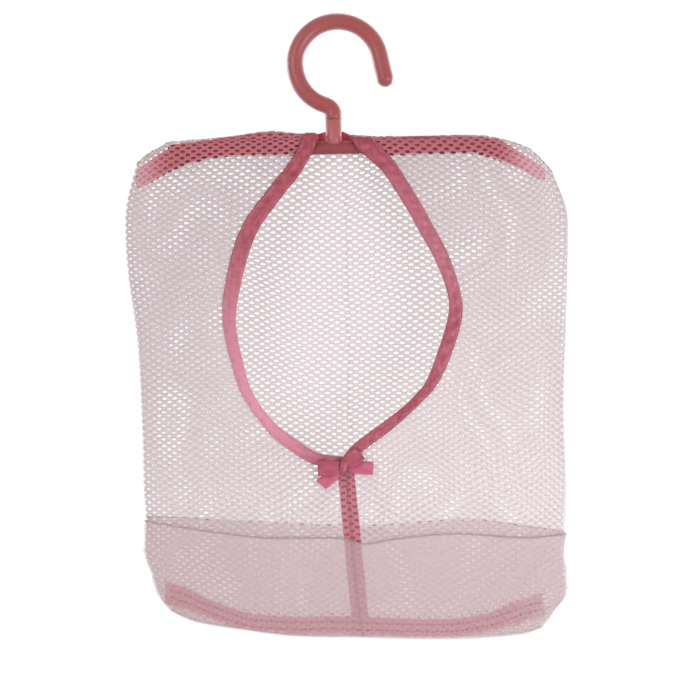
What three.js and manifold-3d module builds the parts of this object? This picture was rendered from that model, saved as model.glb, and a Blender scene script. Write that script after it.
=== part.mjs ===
import * as THREE from 'three';
import { mergeVertices } from 'three/addons/utils/BufferGeometryUtils.js';
import Module from 'manifold-3d';

// Mesh storage net: a flat net bag sewn round the bar of a small plastic hanger with a swivel hook.
// Millimetres, +Z up, +Y away from the viewer, +X to the viewer's right.
// The origin is on the hook's stem axis, level with the inside of the hook's crown.

// Hook
const hookRod = 10;             // rod diameter
const hookBend = 25.6;          // centre-line radius of the crown
const hookOffset = 3.2;         // the crown's centre stands this far right of the stem
const neckBend = 7;             // reverse bend between the crown and the stem
const tipLength = 15.2;         // straight length that ends the hook
const tipAngle = THREE.MathUtils.degToRad(12.5);
const stemDrop = 53.9;          // from the origin down to the swivel joint

// Swivel pin, moulded with the hook
const pinRod = 4.4;
const pinNeck = 6.2;            // from the swivel joint down to the head
const pinHeadRod = 5.8;
const pinHeadLength = 3.4;
const pinRoot = 3;              // how far the pin reaches up into the stem
const swivelGap = 0.3;          // running clearance round the pin and its head

// Hanger bar and its boss
const barDrop = 70.8;           // from the origin down to the bar's axis
const barRod = 7.6;
const barLength = 200;
const bossRod = 9.5;
const bossFoot = 2.4;           // how far the boss reaches down over the bar's top half
const bossRound = 1.6;          // rounding of the boss's foot
const boreOverrun = 1;

// Cloth thicknesses and the clearance between layers
const clothGap = 0.3;
const looseGap = 0.5;           // between the net and the base cloth that lies over it
const netThick = 0.8;
const baseThick = 0.4;
const tapeThick = 0.6;
const seamGap = 0.3;            // between the front and back walls where they are sewn together
const slopeStep = 0.4;          // step used to read the slope of the net

// Net bag
const netOverhang = 31.4;       // how far the net's sides reach out beyond the ends of the bar
const netWidth = barLength + 2 * netOverhang;
const netHeight = 299.7;
const netShift = 6.6;           // the bag hangs a little right of the stem
const bellyDepth = 14;          // how far each wall swells beyond the width of the bar
const sideRound = 20;           // how far in from each side fold the wall rounds off
const hemRound = 12;            // how far up from the bottom seam the wall rounds off

// Openings of the net: a plain grid in place of its fine mesh, above the base cloth
const openingSize = 14;         // width and height of an opening
const openingBar = 11;          // net between two openings
const openingInset = 5;         // net left beside a fold, a seam or the binding
const openingDrop = 21;         // from the top of the sleeve down to the first openings
const openingOverrun = 5;

// Mouth and its binding
const mouthWidth = 136;
const mouthDrop = 193;
const mouthShift = 3;           // the mouth's point, right of the stem
const bindingWidth = 8;
const bindingInside = 0.4;      // how far the binding stands inside and outside the net
const bindingOutside = 1.3;
const jointSetback = 7;         // the right binding stops this far short of the mouth's point

// Neck binding, behind the boss
const neckWidth = 26;
const neckBand = 10.4;
const neckTop = 8.2;            // above the bar's axis
const neckThick = 0.8;
const neckStandOff = 2.7;       // in front of it, room for the boss when the bag swings
const notchDrop = 6.5;
const notchInner = 20;          // width of the notch's floor
const notchOuter = 34;          // width where the notch runs out into the ridge

// Seam tapes, inside the bag
const topTapeLeg = 4;           // how far the top tape hangs below the bar's axis
const topTapeInset = 6.4;       // from the mouth binding's edge to the top tape
const centreTapeWidth = 10;
const centreTapeRise = 4;       // from the bottom seam up to the tape's end
const bottomTapeWidth = 10;
const bottomTapeThick = 1.2;
const bottomTapeRise = 0.5;
const seamLean = 8.2;           // the centre seam wanders this far right on its way down

// Ribbon bow
const ribbonWidth = 7.5;
const ribbonThick = 0.5;
const knotWidth = 4.6;
const knotHeight = 8.6;
const knotRound = 1.2;
const loopDepth = 3.6;
const leftLoopLength = 14;
const rightLoopLength = 13;
const leftTailLength = 14;
const rightTailLength = 15.5;
const leftLoopTilt = THREE.MathUtils.degToRad(0);
const rightLoopTilt = THREE.MathUtils.degToRad(32);
const leftTailTilt = THREE.MathUtils.degToRad(38);
const rightTailTilt = THREE.MathUtils.degToRad(-3);
const bowReach = 12;            // the bow lies clear of the wall as far as this from the knot
const bowDrop = 3;              // the knot sits this far below the mouth's point

// Outline of the bag. Shares of half the bag's width run across, shares of its height run down.
const leftSideShares = [
  [0, -0.95], [0.09, -0.992], [0.24, -0.99], [0.4, -0.965], [0.6, -0.942],
  [0.8, -0.925], [0.92, -0.92], [0.96, -0.882], [1, -0.825],
];
const rightSideShares = [
  [0, 0.942], [0.08, 1], [0.33, 0.992], [0.52, 0.973], [0.78, 0.958], [0.92, 0.97], [0.96, 0.912], [1, 0.856],
];
const ridgeShares = [
  [-0.95, 0.042], [-0.89, 0.018], [-0.84, 0.005], [-0.8, 0], [-0.77, 0],
  [0.7, 0], [0.73, 0], [0.8, 0.011], [0.88, 0.04], [0.942, 0.068],
];
const bottomShares = [
  [-0.825, 0.93], [-0.72, 0.951], [-0.515, 0.973], [-0.28, 0.988],
  [0, 0.993], [0.46, 1], [0.76, 0.993], [0.856, 0.982],
];

// Mouth outline. Shares of half the mouth's width run across, shares of its drop run down.
const mouthLeftShares = [
  [-0.226, 0], [-0.291, 0.045], [-0.426, 0.103], [-0.6, 0.165], [-0.803, 0.274], [-0.966, 0.447], [-1, 0.545],
  [-0.915, 0.711], [-0.822, 0.8], [-0.647, 0.884], [-0.465, 0.938], [-0.259, 0.985], [0, 1],
];
const mouthRightShares = [
  [0.126, 0], [0.203, 0.039], [0.432, 0.102], [0.615, 0.189], [0.766, 0.288], [0.893, 0.377], [0.985, 0.48],
  [0.985, 0.56], [0.885, 0.693], [0.775, 0.769], [0.634, 0.816], [0.368, 0.888], [0.11, 0.954], [0, 1],
];

// Top hem of the base cloth. Shares of half the bag's width, and of its height.
const frontHemShares = [
  [-0.93, 0.755], [-0.65, 0.779], [-0.4, 0.792], [-0.06, 0.797], [0.055, 0.811], [0.2, 0.8], [0.46, 0.793],
  [0.77, 0.805], [0.96, 0.796],
];
const backHemShares = [
  [-0.93, 0.752], [-0.43, 0.77], [0, 0.78], [0.3, 0.774], [0.53, 0.767], [0.82, 0.788], [0.96, 0.796],
];

// Mesh densities
const rodSides = 14;
const hookSteps = 42;
const latheSides = 24;
const arcSteps = 4;
const frontColumns = 8;
const backColumns = 20;
const mouthRows = 26;
const seamRows = 12;
const hemRows = 5;
const bodyRows = 15;
const baseRows = 8;
const tapeSteps = 12;
const loopSegments = 10;
const knotSegments = 3;
const bisections = 24;

const wasm = await Module();
wasm.setup();

// Joins and cuts

function toSolid(geometry) {
  const bare = geometry.clone();
  bare.deleteAttribute('normal');
  bare.deleteAttribute('uv');
  const merged = mergeVertices(bare);
  const index = [];
  for (let i = 0; i < merged.index.count; i += 3) {
    const corners = [merged.index.getX(i), merged.index.getX(i + 1), merged.index.getX(i + 2)];
    if (new Set(corners).size === 3) index.push(...corners);
  }
  const mesh = new wasm.Mesh({
    numProp: 3,
    vertProperties: new Float32Array(merged.attributes.position.array),
    triVerts: new Uint32Array(index),
  });
  return new wasm.Manifold(mesh);
}

function toGeometry(solid) {
  const mesh = solid.getMesh();
  const geometry = new THREE.BufferGeometry();
  geometry.setAttribute('position', new THREE.BufferAttribute(mesh.vertProperties, 3));
  geometry.setIndex(new THREE.BufferAttribute(mesh.triVerts, 1));
  geometry.computeVertexNormals();
  return geometry;
}

function turned(profile) {
  const points = profile.map(([radius, height]) => new THREE.Vector2(radius, height));
  return new THREE.LatheGeometry(points, latheSides).rotateX(Math.PI / 2);
}

// Tables of shares

function readShares(table, value) {
  if (value <= table[0][0]) return table[0][1];
  const last = table.length - 1;
  if (value >= table[last][0]) return table[last][1];
  let i = 0;
  while (value > table[i + 1][0]) i += 1;
  const slope = (a, b) => (table[b][1] - table[a][1]) / (table[b][0] - table[a][0]);
  const span = table[i + 1][0] - table[i][0];
  const startSlope = slope(Math.max(i - 1, 0), i + 1);
  const endSlope = slope(i, Math.min(i + 2, last));
  const t = (value - table[i][0]) / span;
  const curve = new THREE.CubicBezierCurve(
    new THREE.Vector2(0, table[i][1]),
    new THREE.Vector2(0, table[i][1] + (startSlope * span) / 3),
    new THREE.Vector2(0, table[i + 1][1] - (endSlope * span) / 3),
    new THREE.Vector2(0, table[i + 1][1]),
  );
  return curve.getPoint(t).y;
}

// Shape of the net's inner face

const sleeveRadius = barRod / 2 + clothGap + tapeThick + clothGap;
const ridgeTop = -barDrop + sleeveRadius;
const acrossAt = (share) => netShift + (share * netWidth) / 2;
const acrossShare = (x) => (x - netShift) / (netWidth / 2);
const ridgeAt = (x) => ridgeTop - netHeight * readShares(ridgeShares, acrossShare(x));
const bottomAt = (x) => ridgeTop - netHeight * readShares(bottomShares, acrossShare(x));
const fallShare = (x, z) => (ridgeAt(x) - z) / (ridgeAt(x) - bottomAt(x));
const heightAt = (x, fall) => THREE.MathUtils.lerp(ridgeAt(x), bottomAt(x), fall);
const leftFold = (fall) => acrossAt(readShares(leftSideShares, fall));
const rightFold = (fall) => acrossAt(readShares(rightSideShares, fall));

function roundOff(distance, radius) {
  const share = THREE.MathUtils.clamp(distance / radius, 0, 1);
  return Math.sqrt(1 - (1 - share) ** 2);
}

// Half the inside depth of the bag at a place in its outline
function depthAt(x, z) {
  const fall = THREE.MathUtils.clamp(fallShare(x, z), 0, 1);
  const left = leftFold(fall);
  const right = rightFold(fall);
  const fromSide = Math.min(x - left, right - x);
  const across = (2 * x - left - right) / (right - left);
  const swell = bellyDepth * Math.sin(Math.PI * fall) * Math.max(1 - across ** 2, 0);
  const over = roundOff(ridgeAt(x) - z, sleeveRadius);
  const under = roundOff(z - bottomAt(x), hemRound);
  return seamGap / 2 + (sleeveRadius + swell) * over * under * roundOff(fromSide, sideRound);
}

// A point on the front wall (side -1) or the back wall (side 1), lifted outwards from its inner face
function wallPoint(side, x, z, lift) {
  const slopeX = (depthAt(x + slopeStep, z) - depthAt(x - slopeStep, z)) / (2 * slopeStep);
  const slopeZ = (depthAt(x, z + slopeStep) - depthAt(x, z - slopeStep)) / (2 * slopeStep);
  const outward = new THREE.Vector3(-slopeX, side, -slopeZ).normalize();
  return new THREE.Vector3(x, side * depthAt(x, z), z).addScaledVector(outward, lift);
}

// A closed sheet: place(s, t) gives its outline point, s runs across and t runs down
function sheet(side, columns, rows, place, inner, outer) {
  const geometry = new THREE.BoxGeometry(1, 1, 1, columns, 1, rows);
  const position = geometry.attributes.position;
  for (let i = 0; i < position.count; i += 1) {
    const s = position.getX(i) + 1 / 2;
    const t = 1 / 2 - position.getZ(i);
    const { x, z } = place(s, t);
    const isOutside = position.getY(i) * side > 0;
    const point = wallPoint(side, x, z, isOutside ? outer : inner);
    position.setXYZ(i, point.x, point.y, point.z);
  }
  return closed(geometry);
}

function closed(geometry) {
  geometry.deleteAttribute('normal');
  geometry.deleteAttribute('uv');
  const merged = mergeVertices(geometry);
  merged.computeVertexNormals();
  return merged;
}

// Mouth outline, with the binding's centre line and its edges

const mouthPoint = ([across, down]) => new THREE.Vector2(
  mouthShift + (across * mouthWidth) / 2, ridgeTop - down * mouthDrop);
const mouthCurves = {
  left: new THREE.SplineCurve(mouthLeftShares.map(mouthPoint)),
  right: new THREE.SplineCurve(mouthRightShares.map(mouthPoint)),
};
const handOf = { left: -1, right: 1 };

// A point beside the mouth's outline, at a share of its length, moved away from the mouth.
// Over the bar it moves level, further down it moves square to the outline.
function besideMouth(name, share, outwards) {
  const point = mouthCurves[name].getPointAt(share);
  const along = mouthCurves[name].getTangentAt(share);
  const hand = handOf[name];
  const square = new THREE.Vector2(-along.y * hand, along.x * hand);
  const level = new THREE.Vector2(hand / Math.max(Math.abs(along.y), 1 / 2), 0);
  const turn = THREE.MathUtils.smoothstep(ridgeTop - point.y, sleeveRadius, 3 * sleeveRadius);
  return point.add(level.lerp(square, turn).multiplyScalar(outwards));
}

// Shares of the mouth's outline: fine steps over the bar, then even steps to its point
function mouthStations(name) {
  const stations = [];
  for (let i = 0; i <= arcSteps; i += 1) {
    const z = ridgeTop - sleeveRadius * (1 - Math.cos((Math.PI / 2) * (i / arcSteps)));
    let low = 0;
    let high = 1 / 2;
    for (let j = 0; j < bisections; j += 1) {
      const middle = (low + high) / 2;
      if (mouthCurves[name].getPointAt(middle).y > z) low = middle;
      else high = middle;
    }
    stations.push(low);
  }
  for (let i = 1; i <= mouthRows; i += 1) {
    stations.push(THREE.MathUtils.lerp(stations[arcSteps], 1, i / mouthRows));
  }
  return stations;
}

function seamAt(z) {
  const top = ridgeTop - mouthDrop;
  const share = THREE.MathUtils.clamp((top - z) / (netHeight - mouthDrop), 0, 1);
  return mouthShift + seamLean * share;
}

// The inner edge of a front wall: down the mouth's binding, then down the centre seam
function innerEdge(name) {
  const hand = handOf[name];
  const clear = bindingWidth / 2 + clothGap;
  const edge = mouthStations(name).map((share) => besideMouth(name, share, clear));
  const seamTop = edge[edge.length - 1].y - clear / 2;
  const seamFoot = heightAt(seamAt(ridgeTop - netHeight), 1 - hemRound / netHeight);
  for (let i = 0; i <= seamRows; i += 1) {
    const z = THREE.MathUtils.lerp(seamTop, seamFoot, i / seamRows);
    edge.push(new THREE.Vector2(seamAt(z) + (hand * seamGap) / 2, z));
  }
  for (let i = 1; i <= hemRows; i += 1) {
    const x = seamAt(ridgeTop - netHeight) + (hand * seamGap) / 2;
    edge.push(new THREE.Vector2(x, heightAt(x, baseFall(0, baseRows + i))));
  }
  return edge;
}

// Place across of an edge's line at a height
function edgeAt(edge, z) {
  const below = edge.findIndex((point) => point.y < z);
  return THREE.MathUtils.mapLinear(z, edge[below - 1].y, edge[below].y, edge[below - 1].x, edge[below].x);
}

const leftFoldAt = (z) => leftFold(fallShare(netShift, z));
const rightFoldAt = (z) => rightFold(fallShare(netShift, z));

// Share of the way in from a side fold, with the steps close together at the fold
const fromFold = (s) => 1 - Math.cos((Math.PI / 2) * s);

function betweenFoldAndEdge(name, fall, edgeX, s) {
  if (name === 'left') return THREE.MathUtils.lerp(leftFold(fall), edgeX, fromFold(s));
  return THREE.MathUtils.lerp(rightFold(fall), edgeX, fromFold(1 - s));
}

// Cuts the grid of openings in a wall of the net, where the wall reaches all round one.
// The edges give its outline at a height, and aside moves the whole grid.
function withOpenings(geometry, leftEdge, rightEdge, aside) {
  const depth = 2 * (sleeveRadius + bellyDepth + netThick + openingOverrun);
  const reach = openingSize / 2 + openingInset;
  const pitch = openingSize + openingBar;
  const columns = Math.ceil(netWidth / pitch / 2);
  const foot = ridgeTop - netHeight * backHemShares[0][1] + reach;
  let wall = toSolid(geometry);
  for (let z = ridgeTop - openingDrop - openingSize / 2 - aside; z > foot; z -= pitch) {
    for (let i = -columns; i <= columns; i += 1) {
      const x = netShift + i * pitch + aside;
      const isClear = [z - reach, z + reach].every((level) => (
        leftEdge(level) < x - reach && x + reach < rightEdge(level)));
      if (!isClear) continue;
      const opening = new THREE.BoxGeometry(openingSize, depth, openingSize).translate(x, 0, z);
      wall = wall.subtract(toSolid(opening));
    }
  }
  return toGeometry(wall);
}

// The pieces

function hookGeometry() {
  const centre = new THREE.Vector2(hookOffset, -(hookBend - hookRod / 2));
  const rise = Math.sqrt((hookBend + neckBend) ** 2 - (neckBend + hookOffset) ** 2);
  const neckTurn = Math.atan2(rise, neckBend + hookOffset);
  const path = new THREE.Path();
  path.moveTo(0, -stemDrop);
  path.lineTo(0, centre.y - rise);
  path.absarc(-neckBend, centre.y - rise, neckBend, 0, neckTurn, false);
  path.absarc(centre.x, centre.y, hookBend, neckTurn + Math.PI, tipAngle, true);
  const tip = new THREE.Vector2(
    centre.x + hookBend * Math.cos(tipAngle) + tipLength * Math.sin(tipAngle),
    centre.y + hookBend * Math.sin(tipAngle) - tipLength * Math.cos(tipAngle));
  path.lineTo(tip.x, tip.y);
  const section = new THREE.Shape().absarc(0, 0, hookRod / 2, 0, 2 * Math.PI, false);
  const rod = new THREE.ExtrudeGeometry(section, {
    steps: hookSteps,
    curveSegments: rodSides / 2,
    extrudePath: new UprightCurve(path),
  });
  const end = new THREE.SphereGeometry(hookRod / 2, rodSides, rodSides / 2).translate(tip.x, 0, tip.y);
  const headTop = -stemDrop - pinNeck;
  const pin = turned([
    [0, headTop - pinHeadLength],
    [pinRod / 2, headTop - pinHeadLength],
    [pinHeadRod / 2, headTop - pinHeadLength / 2],
    [pinHeadRod / 2, headTop],
    [pinRod / 2, headTop],
    [pinRod / 2, pinRoot - stemDrop],
    [0, pinRoot - stemDrop],
  ]);
  return toGeometry(toSolid(rod).add(toSolid(end)).add(toSolid(pin)));
}

class UprightCurve extends THREE.Curve {
  constructor(path) {
    super();
    this.path = path;
  }

  getPoint(t, target = new THREE.Vector3()) {
    const flat = this.path.getPoint(t);
    return target.set(flat.x, 0, flat.y);
  }
}

function hangerBarGeometry() {
  const bar = new THREE.CapsuleGeometry(barRod / 2, barLength - barRod, rodSides / 2, rodSides)
    .rotateZ(Math.PI / 2).translate(0, 0, -barDrop);
  const bossTop = -stemDrop - swivelGap;
  const bossBottom = -barDrop + barRod / 2 - bossFoot;
  const boss = turned([
    [0, bossBottom],
    [bossRod / 2 - bossRound, bossBottom],
    [bossRod / 2, bossBottom + bossRound],
    [bossRod / 2, bossTop],
    [0, bossTop],
  ]);
  const lip = -stemDrop - pinNeck + swivelGap;
  const socketFloor = -stemDrop - pinNeck - pinHeadLength - swivelGap;
  const socket = turned([
    [0, socketFloor],
    [pinHeadRod / 2 + swivelGap, socketFloor],
    [pinHeadRod / 2 + swivelGap, lip],
    [pinRod / 2 + swivelGap, lip],
    [pinRod / 2 + swivelGap, bossTop + boreOverrun],
    [0, bossTop + boreOverrun],
  ]);
  return toGeometry(toSolid(bar).add(toSolid(boss)).subtract(toSolid(socket)));
}

function frontNetGeometry(name) {
  const edge = innerEdge(name);
  const rows = edge.length - 1;
  const place = (s, t) => {
    const point = edge[Math.round(t * rows)];
    const fall = THREE.MathUtils.clamp(fallShare(point.x, point.y), 0, 1);
    const x = betweenFoldAndEdge(name, fall, point.x, s);
    return { x, z: heightAt(x, fall) };
  };
  const wall = sheet(-1, frontColumns, rows, place, 0, netThick);
  const innerEdgeAt = (z) => edgeAt(edge, z);
  if (name === 'left') return withOpenings(wall, leftFoldAt, innerEdgeAt, 0);
  return withOpenings(wall, innerEdgeAt, rightFoldAt, 0);
}

function backFalls() {
  const falls = [];
  for (let i = 0; i < arcSteps; i += 1) {
    falls.push((sleeveRadius * (1 - Math.cos((Math.PI / 2) * (i / arcSteps)))) / netHeight);
  }
  const bodyTop = sleeveRadius / netHeight;
  const bodyFoot = 1 - hemRound / netHeight;
  for (let i = 0; i < bodyRows; i += 1) falls.push(THREE.MathUtils.lerp(bodyTop, bodyFoot, i / bodyRows));
  for (let i = 0; i <= hemRows; i += 1) {
    falls.push(THREE.MathUtils.lerp(bodyFoot, 1, Math.sin((Math.PI / 2) * (i / hemRows))));
  }
  return falls;
}

// Across the whole back: close steps at both folds, and columns that follow the notch behind the boss
function acrossBack(fall, s) {
  const notchMiddle = (notchInner + notchOuter) / 2;
  const notch = [-notchOuter, -notchMiddle, -notchInner, 0, notchInner, notchMiddle, notchOuter];
  const sideColumns = (backColumns - notch.length + 1) / 2;
  const fromLeft = Math.round(s * backColumns);
  const fromRight = backColumns - fromLeft;
  const besideNotch = (fold, edge, column) => (
    THREE.MathUtils.lerp(fold, edge, fromFold(column / sideColumns)));
  if (fromLeft < sideColumns) return besideNotch(leftFold(fall), -notchOuter / 2, fromLeft);
  if (fromRight < sideColumns) return besideNotch(rightFold(fall), notchOuter / 2, fromRight);
  return notch[fromLeft - sideColumns] / 2;
}

function backNetGeometry() {
  const falls = backFalls();
  const place = (s, t) => {
    const fall = falls[Math.round(t * (falls.length - 1))];
    const x = acrossBack(fall, s);
    const open = 1 - THREE.MathUtils.smoothstep(Math.abs(x), notchInner / 2, notchOuter / 2);
    const notch = (open * notchDrop) / netHeight;
    return { x, z: heightAt(x, notch + (1 - notch) * fall) };
  };
  const wall = sheet(1, backColumns, falls.length - 1, place, 0, netThick);
  return withOpenings(wall, leftFoldAt, rightFoldAt, (openingSize + openingBar) / 4);
}

// Base cloth: from its hem to the bottom seam, outside the net. Its rows near the seam are the net's.
function baseFall(hem, row) {
  const foot = 1 - hemRound / netHeight;
  if (row <= baseRows) return THREE.MathUtils.lerp(hem, foot, row / baseRows);
  return THREE.MathUtils.lerp(foot, 1, Math.sin((Math.PI / 2) * ((row - baseRows) / hemRows)));
}

function baseGeometry(side, columns, hemShares, acrossAtLevel) {
  const rows = baseRows + hemRows;
  const place = (s, t) => {
    const row = Math.round(t * rows);
    const x = acrossAtLevel(baseFall(hemShares[0][1], row), s);
    const hem = fallShare(x, ridgeTop - netHeight * readShares(hemShares, acrossShare(x)));
    return { x, z: heightAt(x, baseFall(hem, row)) };
  };
  const inner = netThick + looseGap;
  return sheet(side, columns, rows, place, inner, inner + baseThick);
}

function frontBaseGeometry(name) {
  return baseGeometry(-1, frontColumns, frontHemShares, (level, s) => {
    const edgeX = seamAt(ridgeTop - netHeight * level) + (handOf[name] * seamGap) / 2;
    return betweenFoldAndEdge(name, level, edgeX, s);
  });
}

function bindingGeometry(name) {
  const hand = handOf[name];
  const length = mouthCurves[name].getLength();
  const setback = name === 'right' ? jointSetback : 0;
  const stations = mouthStations(name).filter((share) => share <= 1 - setback / length);
  const steps = stations.length - 1;
  const place = (s, t) => {
    const outwards = hand * (s - 1 / 2) * bindingWidth;
    const point = besideMouth(name, stations[Math.round(t * steps)], outwards);
    return { x: point.x, z: point.y };
  };
  return sheet(-1, 2, steps, place, -bindingInside, bindingOutside);
}

// A band bent to a given place: bend(s, t, isOutside) moves each corner of a flat sheet
function band(columns, rows, bend) {
  const geometry = new THREE.BoxGeometry(1, 1, 1, columns, 1, rows);
  const position = geometry.attributes.position;
  for (let i = 0; i < position.count; i += 1) {
    const point = bend(position.getX(i) + 1 / 2, position.getZ(i) + 1 / 2, position.getY(i));
    position.setXYZ(i, point.x, point.y, point.z);
  }
  return closed(geometry);
}

function neckBindingGeometry() {
  const inner = bossRod / 2 + neckStandOff;
  return band(tapeSteps / 2, 2, (s, t, y) => new THREE.Vector3(
    (s - 1 / 2) * neckWidth,
    inner + (y + 1 / 2) * neckThick,
    -barDrop + neckTop - (1 - t) * neckBand));
}

// Top seam tape: an upside-down trough over the bar
function topTapeGeometry(name) {
  const hand = handOf[name];
  const start = Math.abs(besideMouth(name, 0, bindingWidth / 2).x) + topTapeInset;
  const barEnd = barLength / 2 - barRod;
  const inner = barRod / 2 + clothGap;
  const steps = 2 * arcSteps + 2;
  return band(tapeSteps, steps, (s, t, y) => {
    const radius = inner + (1 / 2 + y) * tapeThick;
    const step = Math.round(t * steps);
    const angle = THREE.MathUtils.clamp((step - 1) / (steps - 2), 0, 1) * Math.PI;
    const isLeg = step === 0 || step === steps;
    const x = THREE.MathUtils.lerp(start, barEnd, hand > 0 ? s : 1 - s) * hand;
    return new THREE.Vector3(
      x, radius * Math.cos(angle), -barDrop + radius * Math.sin(angle) - (isLeg ? topTapeLeg : 0));
  });
}

function centreTapeGeometry() {
  const top = besideMouth('left', 1, bindingWidth / 2 + clothGap).y;
  const place = (s, t) => {
    const foot = bottomAt(seamAt(ridgeTop - netHeight)) + centreTapeRise;
    const z = THREE.MathUtils.lerp(top, foot, t);
    return { x: seamAt(z) + (s - 1 / 2) * centreTapeWidth, z };
  };
  return sheet(-1, 2, tapeSteps, place, -clothGap - tapeThick, -clothGap);
}

function bottomTapeGeometry() {
  return band(tapeSteps * 2, 1, (s, t, y) => {
    const x = THREE.MathUtils.lerp(leftFold(1), rightFold(1), s) * (1 - bottomTapeWidth / netWidth);
    return new THREE.Vector3(x, y * bottomTapeThick, bottomAt(x) + bottomTapeRise + t * bottomTapeWidth);
  });
}

// Bow

function extruded(shape, depth, curveSegments) {
  const geometry = new THREE.ExtrudeGeometry(shape, { depth, bevelEnabled: false, curveSegments });
  return closed(geometry.translate(0, 0, -depth / 2));
}

function loopGeometry(length) {
  const reach = length / 2;
  const depth = loopDepth / 2;
  const shape = new THREE.Shape().absellipse(reach, 0, reach, depth, 0, 2 * Math.PI, false, 0);
  shape.holes.push(new THREE.Path().absellipse(
    reach, 0, reach - ribbonThick, depth - ribbonThick, 0, 2 * Math.PI, true, 0));
  return extruded(shape, ribbonWidth, loopSegments);
}

function tailGeometry(length) {
  return new THREE.BoxGeometry(length, ribbonThick, ribbonWidth).translate(length / 2, 0, 0);
}

function knotGeometry(depth) {
  const shape = new THREE.Shape();
  const x = knotWidth / 2;
  const y = depth / 2;
  shape.moveTo(-x + knotRound, -y);
  shape.lineTo(x - knotRound, -y);
  shape.absarc(x - knotRound, -y + knotRound, knotRound, -Math.PI / 2, 0, false);
  shape.absarc(x - knotRound, y - knotRound, knotRound, 0, Math.PI / 2, false);
  shape.absarc(-x + knotRound, y - knotRound, knotRound, Math.PI / 2, Math.PI, false);
  shape.absarc(-x + knotRound, -y + knotRound, knotRound, Math.PI, (3 * Math.PI) / 2, false);
  return extruded(shape, knotHeight, knotSegments);
}

// Materials

const material = (color, roughness) => new THREE.MeshStandardMaterial({ color, roughness, metalness: 0 });
const plastic = () => material(0xb2656a, 0.4);
const netCloth = () => material(0xe0cdd0, 0.9);
const baseCloth = () => material(0xd3c1c4, 0.8);
const tapeCloth = () => material(0xc8637e, 0.6);
const neckCloth = () => material(0xa01030, 0.6);
const ribbonCloth = () => material(0xb95b6f, 0.45);

// Assembly

const net = new THREE.Group();

function addPiece(name, geometry, surface) {
  const mesh = new THREE.Mesh(geometry, surface);
  mesh.name = name;
  net.add(mesh);
  return mesh;
}

addPiece('hook', hookGeometry(), plastic());
addPiece('hanger_bar', hangerBarGeometry(), plastic());
addPiece('net_back', backNetGeometry(), netCloth());
addPiece('net_front_left', frontNetGeometry('left'), netCloth());
addPiece('net_front_right', frontNetGeometry('right'), netCloth());
addPiece('base_cloth_back', baseGeometry(1, backColumns, backHemShares, acrossBack), baseCloth());
addPiece('base_cloth_front_left', frontBaseGeometry('left'), baseCloth());
addPiece('base_cloth_front_right', frontBaseGeometry('right'), baseCloth());
addPiece('mouth_binding_left', bindingGeometry('left'), tapeCloth());
addPiece('mouth_binding_right', bindingGeometry('right'), tapeCloth());
addPiece('neck_binding', neckBindingGeometry(), neckCloth());
addPiece('top_seam_tape_left', topTapeGeometry('left'), tapeCloth());
addPiece('top_seam_tape_right', topTapeGeometry('right'), tapeCloth());
addPiece('centre_seam_tape', centreTapeGeometry(), tapeCloth());
addPiece('bottom_seam_tape', bottomTapeGeometry(), tapeCloth());

// The bow lies in front of the place where the two bindings meet.
const knotX = mouthShift;
const knotZ = ridgeTop - mouthDrop - bowDrop;
const bowBack = -depthAt(knotX, knotZ + bowReach) - bindingOutside - clothGap;
const tailY = bowBack - ribbonThick / 2;
const loopY = bowBack - ribbonThick - clothGap - loopDepth / 2;
const knotDepth = ribbonThick + clothGap + loopDepth + ribbonThick;
const knot = addPiece('bow_knot', knotGeometry(knotDepth), ribbonCloth());
knot.position.set(knotX, bowBack - knotDepth / 2, knotZ);

// A loop or tail starts beside the knot and points left or right, tilted up by an angle
function addRibbon(name, geometry, hand, tilt, y) {
  const clear = (knotWidth / 2 + clothGap) / Math.cos(tilt) + (ribbonWidth / 2) * Math.tan(Math.abs(tilt));
  const mesh = addPiece(name, geometry, ribbonCloth());
  mesh.geometry.translate(clear, 0, 0);
  if (hand < 0) mesh.rotation.y = Math.PI + tilt;
  else mesh.rotation.y = -tilt;
  mesh.position.set(knotX, y, knotZ);
}

addRibbon('bow_loop_left', loopGeometry(leftLoopLength), -1, leftLoopTilt, loopY);
addRibbon('bow_loop_right', loopGeometry(rightLoopLength), 1, rightLoopTilt, loopY);
addRibbon('bow_tail_left', tailGeometry(leftTailLength), -1, -leftTailTilt, tailY);
addRibbon('bow_tail_right', tailGeometry(rightTailLength), 1, rightTailTilt, tailY);

export default net;
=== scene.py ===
# Mesh storage net: a pink net bag sewn round the bar of a small plastic hanger with a swivel hook.
# Sizes here are in millimetres. Each mesh is laid in metres, in the part's own frame.

import math
import bmesh
import bpy
import numpy as np
from mathutils import Matrix, Vector


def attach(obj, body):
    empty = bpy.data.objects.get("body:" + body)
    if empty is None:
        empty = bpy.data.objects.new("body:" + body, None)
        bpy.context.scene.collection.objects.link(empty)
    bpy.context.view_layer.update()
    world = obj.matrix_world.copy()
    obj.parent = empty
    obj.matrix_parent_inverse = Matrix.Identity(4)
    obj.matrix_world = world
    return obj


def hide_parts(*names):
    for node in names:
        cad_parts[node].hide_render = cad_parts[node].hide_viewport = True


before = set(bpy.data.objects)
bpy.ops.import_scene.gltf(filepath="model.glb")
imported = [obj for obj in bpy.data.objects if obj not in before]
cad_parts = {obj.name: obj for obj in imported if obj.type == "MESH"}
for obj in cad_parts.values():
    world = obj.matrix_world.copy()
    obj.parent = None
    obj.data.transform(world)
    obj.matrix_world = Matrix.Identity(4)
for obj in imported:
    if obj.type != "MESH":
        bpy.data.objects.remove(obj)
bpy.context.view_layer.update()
mm = 0.001


# Camera, light and floor

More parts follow.
